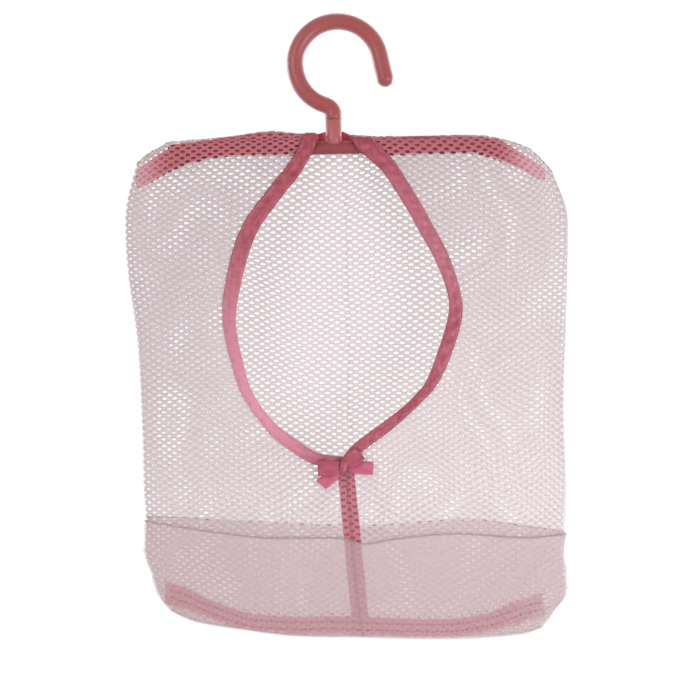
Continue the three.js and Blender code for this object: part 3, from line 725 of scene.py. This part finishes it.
def makeHangerBar():
    radius = bar["rod"] / 2
    half = bar["length"] / 2 - radius
    level = bag["barLevel"]
    bm = bmesh.new()
    profile = [(half + radius * math.sin(a), radius * math.cos(a))
               for a in np.linspace(math.pi / 2, 0, bar["endSteps"])]
    outline = profile + [(-x, r) for x, r in reversed(profile)]
    verts = [bm.verts.new((x * mm, 0, (level + r) * mm)) for x, r in outline]
    edges = [bm.edges.new(pair) for pair in zip(verts, verts[1:])]
    bmesh.ops.spin(bm, geom=verts + edges, cent=(0, 0, level * mm), axis=(1, 0, 0), angle=2 * math.pi,
                   steps=bar["sides"], use_merge=True)
    bmesh.ops.remove_doubles(bm, verts=bm.verts[:], dist=0.001 * mm)
    barFaces = len(bm.faces)
    gap = bar["swivelGap"]
    top = hook["stemFoot"] - gap
    foot = level + radius - bar["bossFoot"]
    boss = bar["bossRod"] / 2
    bore = hook["pinRod"] / 2 + gap
    socket = hook["headRod"] / 2 + gap
    lip = hook["stemFoot"] - hook["pinNeck"] + gap
    floor = hook["stemFoot"] - hook["pinNeck"] - hook["headLength"] - gap
    bossRound, jointRound = bar["bossRound"], hook["jointRound"]
    spunProfile(bm, [
        (0, foot), (boss - bossRound, foot), (boss - bar["bossDraw"], foot + bossRound * 0.6),
        (boss, foot + 1.8 * bossRound), (boss, top - jointRound), (boss - jointRound, top), (bore, top),
        (bore, lip), (socket, lip), (socket, floor), (0, floor),
    ], bar["sides"])
    bmesh.ops.recalc_face_normals(bm, faces=bm.faces[:])
    for face in bm.faces[barFaces:]:
        face.material_index = 1
    piece = newPiece("round_hanger_bar", bm, "bar")
    piece.data.materials.append(materials["boss"])
    setOn(piece, "hanger", ["hanger_bar"])


makeHook()
makeHangerBar()
print("hook and hanger bar are made")


# Seam tapes, inside the bag

topTape = {
    "thick": 0.3,
    "radius": 4.6,          # of its outer face, over the bar
    "flatRadius": 0.9,      # beyond the bar's ends, where its two plies close up
    "leg": 8,               # of each ply, as it was cut
    "bend": 0.8,            # of the half turn over the bar, as it was cut
    "columns": 24,
    "rows": 120,
    # across, middle and height
    "left": [(-119, -88, 9), (-116, -86.4, 12), (-112, -84, 13), (-105, -79.6, 13.6), (-95, -74.4, 13.6),
             (-81.4, -71.3, 11.4), (-64.5, -68.9, 11.3), (-38, -67.4, 14), (-24.9, -68.1, 12.8),
             (-13, -68.4, 12.6)],
    "right": [(13.5, -68.7, 8), (22, -70, 10.6), (64, -69.9, 10.6), (84, -70.6, 10), (93, -72.1, 11.2),
              (98, -73.7, 11.8), (103, -76, 11.6), (112, -81, 10.6), (119, -85.4, 10), (123.5, -88, 8.6),
              (126, -89.6, 6)],
}


def makeTopTape(name):
    table = topTape[name]
    start, end = table[0][0], table[-1][0]
    barEnd = bar["length"] / 2

    def place(across, along):
        x = lerp(start, end, along)
        beyond = smoothStep(np.abs(x), barEnd - 2, barEnd + 8)
        radius = lerp(topTape["radius"], topTape["flatRadius"], beyond)
        height = readColumn(table, 2, x)
        crest = readColumn(table, 1, x) + height / 2
        bent = math.pi * radius
        leg = np.maximum(height - radius, 0.3)
        path = across * (2 * leg + bent)
        turn = np.clip((path - leg) / radius, 0, math.pi)
        down = np.maximum(leg - path, 0) + np.maximum(path - leg - bent, 0)
        y = -radius * np.cos(turn)
        z = crest - radius + radius * np.sin(turn) - down
        return np.stack([x, y, z], axis=-1)

    length = end - start
    flat = (2 * topTape["leg"] + math.pi * topTape["radius"] * topTape["bend"], length)
    piece = layStrip("top_tape_" + name, "topSeam", topTape["columns"], topTape["rows"], flat, place)
    piece.data.flip_normals()
    finishCloth(piece, topTape["thick"], ["top_seam_tape_" + name])


seamTape = {
    "width": 10,
    "thick": 0.5,
    "inside": -0.5,         # below the net's inner face
    "rise": 1.2,            # from the bottom edge up to the tape's end
    "start": 4.4,           # below the mouth's point
    "footLevel": -360,      # about where the seam meets the bottom edge
    "rowEnd": 3,            # the stitches end this far from the tape's ends
}


def makeCentreTape():
    top = bag["ridgeTop"] - bag["mouthDrop"] - seamTape["start"]
    foot = float(bottomAt(np.array([seamAt(seamTape["footLevel"])]))[0]) + seamTape["rise"]

    def place(across, along):
        z = lerp(foot, top, along)
        edge = (across - 0.5) * (seamTape["width"] + 0.3 * np.sin(z / 6))
        x = seamAt(z) + edge
        return wallPoints(-1, x, z, seamTape["inside"] + 0.1 * np.sin(z / 2.3))

    length = top - foot
    piece = layStrip("centre_tape", "seam", 10, 120, (seamTape["width"], length), place)
    finishCloth(piece, seamTape["thick"], ["centre_seam_tape"])
    down = np.linspace(foot + seamTape["rowEnd"], top - seamTape["rowEnd"], 100)
    lift = 0.9 + slack(-1, seamAt(down), down)
    sewRow("centre_stitches", wallPoints(-1, seamAt(down), down, lift), "seamThread")


bottomTape = {
    "width": 10,
    "length": 236,
    "thick": 0.6,
    "rows": {"upper": 0.82, "lower": 0.4},      # shares of its width where its stitches lie
    # across, middle and width
    "line": [(-106, -335.2, 13), (-97, -338, 12), (-85.5, -343, 10.4), (-70, -349.4, 10), (-54, -354.3, 10),
             (-26.5, -356.5, 10), (-8.1, -356.5, 10), (18.3, -357.8, 10), (61.1, -359.6, 10),
             (77.2, -358.3, 10), (90, -355.9, 10.6), (99, -353, 11.6), (109, -349.6, 13),
             (120.5, -346.6, 13.5)],
}


def makeBottomTape():
    line = bottomTape["line"]
    start, end = line[0][0], line[-1][0]

    def place(across, along):
        x = lerp(start, end, along)
        middle = readColumn(line, 1, x)
        slope = (readColumn(line, 1, x + 1) - readColumn(line, 1, x - 1)) / 2
        reach = (across - 0.5) * readColumn(line, 2, x)
        share = np.sqrt(1 + slope**2)
        z = np.maximum(middle + reach / share, bottomAt(x) + 0.8)
        y = 0.25 * np.sin(x / 7) * smoothStep(z - bottomAt(x), 1, 6)
        return np.stack([x - reach * slope / share, y, z], axis=-1)

    width, length = bottomTape["width"], bottomTape["length"]
    piece = layStrip("bottom_tape", "bottom", 8, 160, (width, length), place)
    finishCloth(piece, bottomTape["thick"], ["bottom_seam_tape"], 0)
    x = np.linspace(start + seamTape["rowEnd"], end - seamTape["rowEnd"], 300)
    for row, share in bottomTape["rows"].items():
        z = np.maximum(readColumn(line, 1, x) + (share - 0.5) * width, bottomAt(x) + seamTape["rise"])
        points = wallPoints(-1, x, z, 1.8 + slack(-1, x, z))
        sewRow("bottom_stitches_" + row, points, "seamThread")


makeTopTape("left")
makeTopTape("right")
makeCentreTape()
makeBottomTape()
print("seam tapes are laid")


# Knitted net, with its real holes

knit = {
    "columnStep": 3.27,     # between columns of holes
    "rowStep": 4.07,        # between the holes of one column
    "holeWidth": 3.35,
    "holeHeight": 1.5,
    "yarnThick": 0.4,
    "yarnCrown": 0.14,      # the yarn between two holes stands this far above their rims
    "wander": 1.3,          # how far the rows and columns stray from straight
    "ripple": 0.5,          # the same, over a shorter way
    "calm": 30,             # both fade out over this way from the wall's edges
    "give": 1.03,           # the flat net is larger than the box of its hanging wall
    "cover": 0.7,           # the yarn's share of it
}


def arcTable(x, z):   # distance along a wall's line, as the knit lies along it
    y = depthAt(x, z)
    steps = np.sqrt(np.diff(x) ** 2 + np.diff(y) ** 2 + np.diff(z) ** 2)
    return np.concatenate([[0], np.cumsum(steps)])


shares = np.linspace(0, 1, 600)
middleX = lerp(foldAt(leftSideShares, 0.5), foldAt(rightSideShares, 0.5), shares)
acrossArc = arcTable(middleX, lerp(ridgeAt(middleX), bottomAt(middleX), 0.5))
topLevel = float(ridgeAt(middleX).max())
footLevel = float(bottomAt(middleX).min())
downArc = arcTable(np.full_like(shares, 40.0), lerp(topLevel, footLevel, shares))


def repeat(bm, count, step):
    cell = bm.verts[:] + bm.edges[:] + bm.faces[:]
    for i in range(1, count):
        copy = bmesh.ops.duplicate(bm, geom=cell)["geom"]
        moved = [v for v in copy if isinstance(v, bmesh.types.BMVert)]
        bmesh.ops.translate(bm, verts=moved, vec=Vector(step) * i)


def knitField(columns, rows):   # a flat field of six-sided cells, each with a hole
    bm = bmesh.new()
    cell = (knit["columnStep"] * 2 / 3, knit["rowStep"] / math.sqrt(3))
    hole = (knit["holeWidth"] / 2, knit["holeHeight"] / math.sqrt(3))
    for height, (width, tall) in ((knit["yarnCrown"], cell), (0, hole)):
        ring = bmesh.ops.create_circle(bm, segments=6, radius=1)["verts"]
        bmesh.ops.rotate(bm, verts=ring, cent=(0, 0, 0), matrix=Matrix.Rotation(math.radians(30), 3, "Z"))
        bmesh.ops.scale(bm, verts=ring, vec=(width, tall, 1))
        bmesh.ops.translate(bm, verts=ring, vec=(0, 0, height))
    bmesh.ops.bridge_loops(bm, edges=bm.edges[:])
    repeat(bm, 2, (knit["columnStep"], knit["rowStep"] / 2, 0))
    repeat(bm, columns // 2, (2 * knit["columnStep"], 0, 0))
    repeat(bm, rows, (0, knit["rowStep"], 0))
    bmesh.ops.remove_doubles(bm, verts=bm.verts[:], dist=0.01)
    return bm


def cutField(bm, width, height):   # trims the field to the cut's straight edges
    for place, normal in (((0, 0, 0), (-1, 0, 0)), ((width, 0, 0), (1, 0, 0)),
                          ((0, 0, 0), (0, -1, 0)), ((0, height, 0), (0, 1, 0))):
        bmesh.ops.bisect_plane(bm, geom=bm.verts[:] + bm.edges[:] + bm.faces[:], dist=0.01,
                               plane_co=place, plane_no=normal, clear_outer=True)


def knitWall(side, shift):   # one whole wall of the bag, with the places of its faces before the cut
    columns = 2 * math.ceil((acrossArc[-1] / knit["columnStep"] + 3) / 2)
    rows = math.ceil(downArc[-1] / knit["rowStep"]) + 3
    bm = knitField(columns, rows)
    turn = Matrix.Rotation(math.radians(shift["turn"]), 3, "Z")
    middle = (acrossArc[-1] / 2, downArc[-1] / 2, 0)
    bmesh.ops.translate(bm, verts=bm.verts[:], vec=(shift["across"] - knit["columnStep"],
                                                    shift["down"] - knit["rowStep"], 0))
    bmesh.ops.rotate(bm, verts=bm.verts[:], cent=middle, matrix=turn)
    cutField(bm, acrossArc[-1], downArc[-1])
    co = np.array([v.co for v in bm.verts])
    u, v = co[:, 0], co[:, 1]
    inside = (smoothStep(np.minimum(u, acrossArc[-1] - u), 0, knit["calm"])
              * smoothStep(np.minimum(v, downArc[-1] - v), 0, knit["calm"]))
    wander = knit["wander"] * inside
    ripple = knit["ripple"] * inside
    du = wander * (np.sin(v / 17 + side) + 0.7 * np.sin(u / 23 + v / 31 + 2 * side))
    dv = wander * (np.sin(u / 19 + 2 * side) + 0.7 * np.sin(v / 27 - u / 37 + side))
    du += ripple * np.sin(v / 7 + u / 21 + 3 * side)
    dv += ripple * (np.sin(u / 8.5 - v / 24 + side) + np.sin(u / 14 + v / 10 + 2 * side))
    across = np.interp(u + du, acrossArc, shares)
    fall = np.interp(v + dv, downArc, shares)
    level = lerp(topLevel, footLevel, fall)
    for i in range(4):   # level rows, cut off by the ridge and the bottom seam, between the two side folds
        x = lerp(foldAt(leftSideShares, fall), foldAt(rightSideShares, fall), across)
        z = np.clip(level, bottomAt(x), ridgeAt(x))
        fall = (ridgeAt(x) - z) / (ridgeAt(x) - bottomAt(x))
    lift = co[:, 2] + knit["yarnThick"] + slack(side, x, z)
    layVertices(bm, wallPoints(side, x, z, lift))
    bmesh.ops.dissolve_degenerate(bm, edges=bm.edges[:], dist=0.02 * mm)
    return bm


def facePlaces(bm):
    return np.array([f.calc_center_median() for f in bm.faces]).T / mm


def inMouth(x, z):
    between = (x > mouth["left"].edgeAt(z)) & (x < mouth["right"].edgeAt(z))
    return between & (z > bag["ridgeTop"] - bag["mouthDrop"])


def inNotch(x, z):   # the back wall is cut away behind the boss
    cut = 1 - smoothStep(np.abs(x), 10, 17)
    return z > ridgeAt(x) - 9.5 * cut


reachLimit = 3


# How far a place lies inside a seam tape that the knit is sewn to, where the yarn gets painted pink light
# from the tape. Outside the tape it is negative.
def tapeReach(x, y, z):
    edge = np.minimum(seamTape["width"] / 2 - np.abs(x - seamAt(z)), bag["ridgeTop"] - bag["mouthDrop"] - z)
    edges = [np.where(y < 0, edge, -reachLimit)]   # the centre seam is in the front alone
    for table, spare in ((topTape["left"], 0.4), (topTape["right"], 0.4), (bottomTape["line"], 1)):
        edge = readColumn(table, 2, x) / 2 + spare - np.abs(z - readColumn(table, 1, x))
        edges.append(np.minimum(edge, np.minimum(x - table[0][0], table[-1][0] - x)))
    return np.clip(np.max(edges, axis=0), -reachLimit, reachLimit)


def veilShadeReach(x, y, z):   # the same, for the front's part that has only the back's sheer cloth behind it, where the yarn gets painted shade
    top = levelAt(backHemShares, x) + yarn["veilShadeReach"]
    between = np.minimum(top - z, z - levelAt(frontHemShares, x))
    return np.clip(np.where(y < 0, between, -reachLimit), -reachLimit, reachLimit)


knitPieces = {
    "knit_front_left": (-1, "net_front_left", lambda x, z: (x <= seamAt(z)) & ~inMouth(x, z)),
    "knit_front_right": (-1, "net_front_right", lambda x, z: (x > seamAt(z)) & ~inMouth(x, z)),
    "knit_back_left": (1, "net_back", lambda x, z: (x <= bag["shift"]) & ~inNotch(x, z)),
    "knit_back_right": (1, "net_back", lambda x, z: (x > bag["shift"]) & ~inNotch(x, z)),
}
knitShifts = {
    -1: {"across": 0.4, "down": 0.6, "turn": 0},
    1: {"across": -0.9, "down": -0.3, "turn": 2.2},
}


def makeNet():
    for side in (-1, 1):
        whole = knitWall(side, knitShifts[side])
        for name, (wall, node, isKept) in knitPieces.items():
            if wall != side:
                continue
            bm = whole.copy()
            x, y, z = facePlaces(bm)
            gone = [f for f, kept in zip(bm.faces, isKept(x, z)) if not kept]
            bmesh.ops.delete(bm, geom=gone, context="FACES")
            loose = [v for v in bm.verts if not v.link_faces]
            bmesh.ops.delete(bm, geom=loose, context="VERTS")
            bmesh.ops.recalc_face_normals(bm, faces=bm.faces[:])
            if sum(f.normal.y for f in bm.faces) * side < 0:
                bmesh.ops.reverse_faces(bm, faces=bm.faces[:])
            area = sum(f.calc_area() for f in bm.faces)
            points = np.array([v.co for v in bm.verts]).T / mm
            piece = newPiece(name, bm, "net")
            markPoints(piece, "sewn", tapeReach(*points))
            markPoints(piece, "veilShade", veilShadeReach(*points))
            finishCloth(piece, knit["yarnThick"], [node])
        whole.free()


makeNet()
print("net is knitted")


# Sheer base cloth, from its hem to the bottom seam, outside the net

base = {
    "halfWidth": 131,
    "height": 65,
    "lift": 1.3,            # clear of the net
    "thick": 0.15,
    "columns": 110,
    "rows": 40,
    "hemWidth": 0.9,
    "hemThick": 0.25,
}


def baseCloth(name, side, hemTable, leftEdge, rightEdge, node):
    def spotAt(across, level):   # at a level between the hem and the bottom seam
        share = lerp(hemTable[0][1], 1, level)
        x = lerp(leftEdge(share), rightEdge(share), across)
        return x, levelAt(hemTable, x), bottomAt(x)

    def place(across, along):
        x, hem, foot = spotAt(across, along)
        z = lerp(hem, foot, along)
        return wallPoints(side, x, z, base["lift"] + base["thick"] + slack(side, x, z))

    def placeHem(across, along):
        x, hem, foot = spotAt(across, np.zeros_like(along))
        z = hem - along * base["hemWidth"] + 0.2
        swell = 0.25 * np.sin(along * math.pi)
        lift = base["lift"] + base["thick"] + base["hemThick"] + 0.1
        return wallPoints(side, x, z, lift + swell + slack(side, x, z))

    halves = 1 if side < 0 else 2   # the back is one cloth, from fold to fold
    width, columns = halves * base["halfWidth"], halves * base["columns"]
    piece = layStrip(name, "organza", columns, base["rows"], (width, base["height"]), place)
    hem = layStrip(name.replace("organza", "hem"), "frontHem" if side < 0 else "backHem", columns, 3,
                   (width, base["hemWidth"]), placeHem)
    (hem if side < 0 else piece).data.flip_normals()
    finishCloth(piece, base["thick"], [node])
    finishCloth(hem, base["hemThick"])


def makeBaseCloths():
    left = lambda level: foldAt(leftSideShares, level)
    right = lambda level: foldAt(rightSideShares, level)
    seam = lambda level: seamAt(bag["ridgeTop"] - bag["height"] * level)
    baseCloth("organza_front_left", -1, frontHemShares, left, seam, "base_cloth_front_left")
    baseCloth("organza_front_right", -1, frontHemShares, seam, right, "base_cloth_front_right")
    baseCloth("organza_back", 1, backHemShares, left, right, "base_cloth_back")


makeBaseCloths()
print("base cloth is laid")


# Ribbon bow

bow = {
    "width": 7.7,
    "thick": 0.35,
    "knot": (2.1, -260.7),
    "knotWidth": 4.8,
    "knotHeight": 8,
    "knotLength": 26,       # of the ribbon round the knot
    "squareness": 0.72,     # 1 would make the knot oval
    "start": 1.2,           # the loops and tails start this far from the knot's middle
    "loopDepth": 3.2,
    "standOff": 2.6,        # from the net's inner face, over the bindings
    "loops": {"left": (13.8, -2), "right": (11.6, 40)},     # length and tilt
    "tails": {"left": (15.8, -37), "right": (16.2, -4)},
    "cut": {"left": 10, "right": 2},                        # the ends are cut at a slant, in degrees
}


def turnRibbon(points, hand, tilt, y):   # from beside the knot, out to the left or right and up by the tilt
    angle = math.radians(tilt)
    out = points[:, 0] * math.cos(angle) - points[:, 2] * math.sin(angle)
    up = points[:, 0] * math.sin(angle) + points[:, 2] * math.cos(angle)
    return np.stack([bow["knot"][0] + hand * out, y + points[:, 1], bow["knot"][1] + up], axis=-1)


def makeLoop(name, y):
    length, tilt = bow["loops"][name]

    def place(across, along):
        turn = along * 2 * math.pi
        near = np.maximum(np.cos(turn), 0)
        gather = 1.12 - 0.42 * near**2   # drawn in at the knot
        reach = length / 2 * (1 - np.cos(turn)) + bow["start"]
        depth = bow["loopDepth"] / 2 * np.sin(turn) * (1 - 0.25 * np.cos(turn))
        wide = (across - 0.5) * bow["width"] * gather
        fold = 0.3 * np.cos(across * 3 * math.pi) * near - 0.25 * np.cos(across * 2 * math.pi) * (1 - near)
        return turnRibbon(np.stack([reach, depth + fold, wide], axis=-1), hands[name], tilt, y)

    piece = layStrip("ribbon_loop_" + name, "ribbon", 12, 64, (bow["width"], 2.3 * length), place)
    return finishCloth(piece, bow["thick"], ["bow_loop_" + name], 0)


def makeTail(name, y):
    length, tilt = bow["tails"][name]
    slant = math.tan(math.radians(bow["cut"][name]))

    def place(across, along):
        wide = (across - 0.5) * bow["width"] * lerp(0.6, 1, smoothStep(along, 0, 0.5))
        reach = bow["start"] + along * (length + wide * slant)
        lift = -0.35 * np.sin(along * math.pi) - 0.5 * along**2 + 0.2 * np.cos(across * 2 * math.pi)
        return turnRibbon(np.stack([reach, lift, wide], axis=-1), hands[name], tilt, y)

    piece = layStrip("ribbon_tail_" + name, "ribbonTail", 12, 24, (bow["width"], length), place)
    return finishCloth(piece, bow["thick"], ["bow_tail_" + name], 0)


def makeKnot(y, depth):
    def place(across, along):
        turn = along * 2 * math.pi
        sine = np.sign(np.sin(turn)) * np.abs(np.sin(turn)) ** bow["squareness"]
        cosine = np.sign(np.cos(turn)) * np.abs(np.cos(turn)) ** bow["squareness"]
        wide = (across - 0.5) * bow["knotWidth"]
        pinch = 1 - 0.14 * np.cos(across * 2 * math.pi) - 0.05 * np.cos(across * 6 * math.pi)
        return np.stack([bow["knot"][0] + wide * (1 - 0.15 * np.abs(sine)) + 0.7 * cosine,
                         y + depth / 2 * sine * pinch,
                         bow["knot"][1] + bow["knotHeight"] / 2 * cosine * pinch * 0.95], axis=-1)

    piece = layStrip("ribbon_knot", "ribbon", 12, 48, (bow["knotWidth"], bow["knotLength"]), place)
    return finishCloth(piece, bow["thick"], ["bow_knot"], 0)


def makeBow():
    x, z = bow["knot"]
    back = -float(depthAt(np.array([x]), np.array([z + 12.0]))[0]) - bow["standOff"]
    tailY = back - bow["thick"] / 2
    depth = bow["loopDepth"] + 3 * bow["thick"]
    loopY = back - 2 * bow["thick"] - bow["loopDepth"] / 2
    front = back - depth * 1.07 - 0.45
    sewn = np.array([(x - 1.4, front, z + 1.6), (x + 1.2, front, z - 0.4), (x - 1.2, front, z - 2.2)])
    return [makeLoop("left", loopY), makeLoop("right", loopY), makeTail("left", tailY),
            makeTail("right", tailY), makeKnot(back - depth / 2, depth),
            sewRow("knot_stitches", sewn, "knotThread")]


bowPieces = makeBow()
print("bow is tied")


# Bindings round the mouth: satin tape folded over the net's cut edge

binding = {
    "width": 17,            # of both plies and the fold
    "plyShare": 0.44,       # of that width, in each ply
    "outside": 1.15,        # how far the outer ply's face stands off the net's inner face
    "inside": -0.4,
    "crown": 0.6,           # how far the outer ply swells between its edges
    "pucker": 0.42,
    "thick": 0.25,
    "profileSteps": 24,
    "lengthSteps": 300,
    "crest": 0.3,           # its upper end stops this far below the ridge
    "overlap": 0.8,         # the right one lies this far over the left one at the mouth's point
    "sewnIn": 1.3,          # from its outer edge to the stitches
    # distance down the mouth's edge, shift outwards, width and painted light (0 dark red in shade, 1 pale in
    # light)
    "left": [(0, 1.7, 8.4, 0), (12, 1.2, 8.4, 0), (27, -0.6, 9, 0), (46, -2.2, 9, 0.05), (80, -0.8, 9.4, 0.1),
             (116, -1.9, 8.3, 0.45), (132, -0.8, 7.2, 0.58), (158, -1, 6.4, 0.75), (186, -0.8, 5.6, 0.85),
             (205, -0.4, 7, 0.7), (224, -0.4, 7, 0.4), (246, -0.4, 6.6, 0.2)],
    "right": [(0, 5.4, 13, 0), (14, 3.9, 11, 0), (27, 1.6, 9.6, 0.06), (46, -0.9, 9, 0.2),
              (90, -1.2, 8.6, 0.3), (112, -1.1, 7.6, 0.26), (132, -0.6, 8.3, 0.1), (160, -2.2, 7.8, 0.12),
              (178, -1.6, 6, 0.05), (194, -0.3, 5.6, 0.03), (212, 0, 6.6, 0.1), (243, 0, 6.6, 0.15)],
}


def makeBinding(name):
    side = mouth[name]
    table = binding[name]
    middle = (binding["outside"] + binding["inside"]) / 2
    depth = (binding["outside"] - binding["inside"]) / 2

    def bandAt(distance):
        return readColumn(table, 1, distance), readColumn(table, 2, distance) / 2

    def spotAt(distance, outwards, lift):
        spot = side.beside(distance, outwards)
        x = spot[:, 0]
        z = np.minimum(spot[:, 1], ridgeAt(x) - binding["crest"])
        over = binding["overlap"] * smoothStep(distance, side.length - 26, side.length - 12)
        points = wallPoints(-1, x, z, lift + slack(-1, x, z) + (over if name == "right" else 0))
        points[:, 2] = np.minimum(points[:, 2], ridgeAt(x) + 0.6)
        return points

    def place(across, along):
        distance = along * side.length
        shift, half = bandAt(distance)
        ply = binding["plyShare"]
        turn = np.clip((across - ply) / (1 - 2 * ply), 0, 1) * math.pi   # the fold at the mouth's edge
        fromFold = np.clip((np.abs(across - 0.5) - 0.5 + ply) / ply, 0, 1)
        reach = lerp(depth - half, half, fromFold)
        swell = np.maximum(1 - (reach / half) ** 2, 0)
        creases = (np.sin(distance / 1.7 + reach / 2 + 2.5 * np.sin(distance / 19))
                   + 0.6 * np.sin(distance / 0.95 - reach / 1.6 + 2 * np.sin(distance / 13)))
        front = np.where(across < 0.5, swell * (binding["crown"] + binding["pucker"] * creases), 0)
        return spotAt(distance, shift + reach - depth * np.sin(turn), middle + depth * np.cos(turn) + front)

    flat = (binding["width"], side.length)
    piece = layStrip("satin_binding_" + name, "binding", binding["profileSteps"], binding["lengthSteps"],
                     flat, place, lambda along: readColumn(table, 3, along * side.length))
    finishCloth(piece, binding["thick"], ["mouth_binding_" + name])
    down = np.linspace(4, side.length - 2, 400)
    shift, half = bandAt(down)
    points = spotAt(down, shift + half - binding["sewnIn"], binding["outside"] + 0.6)
    sewRow("binding_stitches_" + name, points)


makeBinding("left")
makeBinding("right")
print("bindings are folded")


# Neck binding, behind the boss

neck = {
    "halfWidth": 13.5,
    "height": 10.2,
    "peak": -60.1,
    "behind": 7.5,
    "thick": 0.5,
    "fall": (4.5, 12),      # it comes down to the crest between these distances from the stem
    "turn": (6.5, 12.5),    # and forward to the wall between these
}


def makeNeckBinding():
    def place(across, along):   # behind the boss, and forward over the crest at its two ends
        x = (across - 0.5) * 2 * neck["halfWidth"]
        top = lerp(neck["peak"], ridgeAt(x) + 0.5, smoothStep(np.abs(x), *neck["fall"]))
        z = top - neck["height"] * (1 - along)
        wall = depthAt(x, np.minimum(z, ridgeAt(x))) + 0.9
        y = lerp(neck["behind"] + 0.15 * np.sin(x / 1.3), wall, smoothStep(np.abs(x), *neck["turn"]))
        return np.stack([x, y, z], axis=-1)

    piece = layStrip("neck_binding_tape", "neck", 60, 16, (2 * neck["halfWidth"], neck["height"]), place)
    finishCloth(piece, neck["thick"], ["neck_binding"])


makeNeckBinding()
print("neck binding is laid")


# Floor

def makeFloor():
    bm = bmesh.new()
    bmesh.ops.create_circle(bm, cap_ends=True, segments=96, radius=studio["floorRadius"] * mm)
    bmesh.ops.translate(bm, verts=bm.verts[:], vec=(0, 0, studio["floorLevel"] * mm))
    matt = {"Base Color": studio["floorColour"], "Roughness": 0.9}
    materials["floor"] = newMaterial("matt_white_floor", matt)[0]
    newPiece("floor", bm, "floor")


makeFloor()
print("floor is laid")
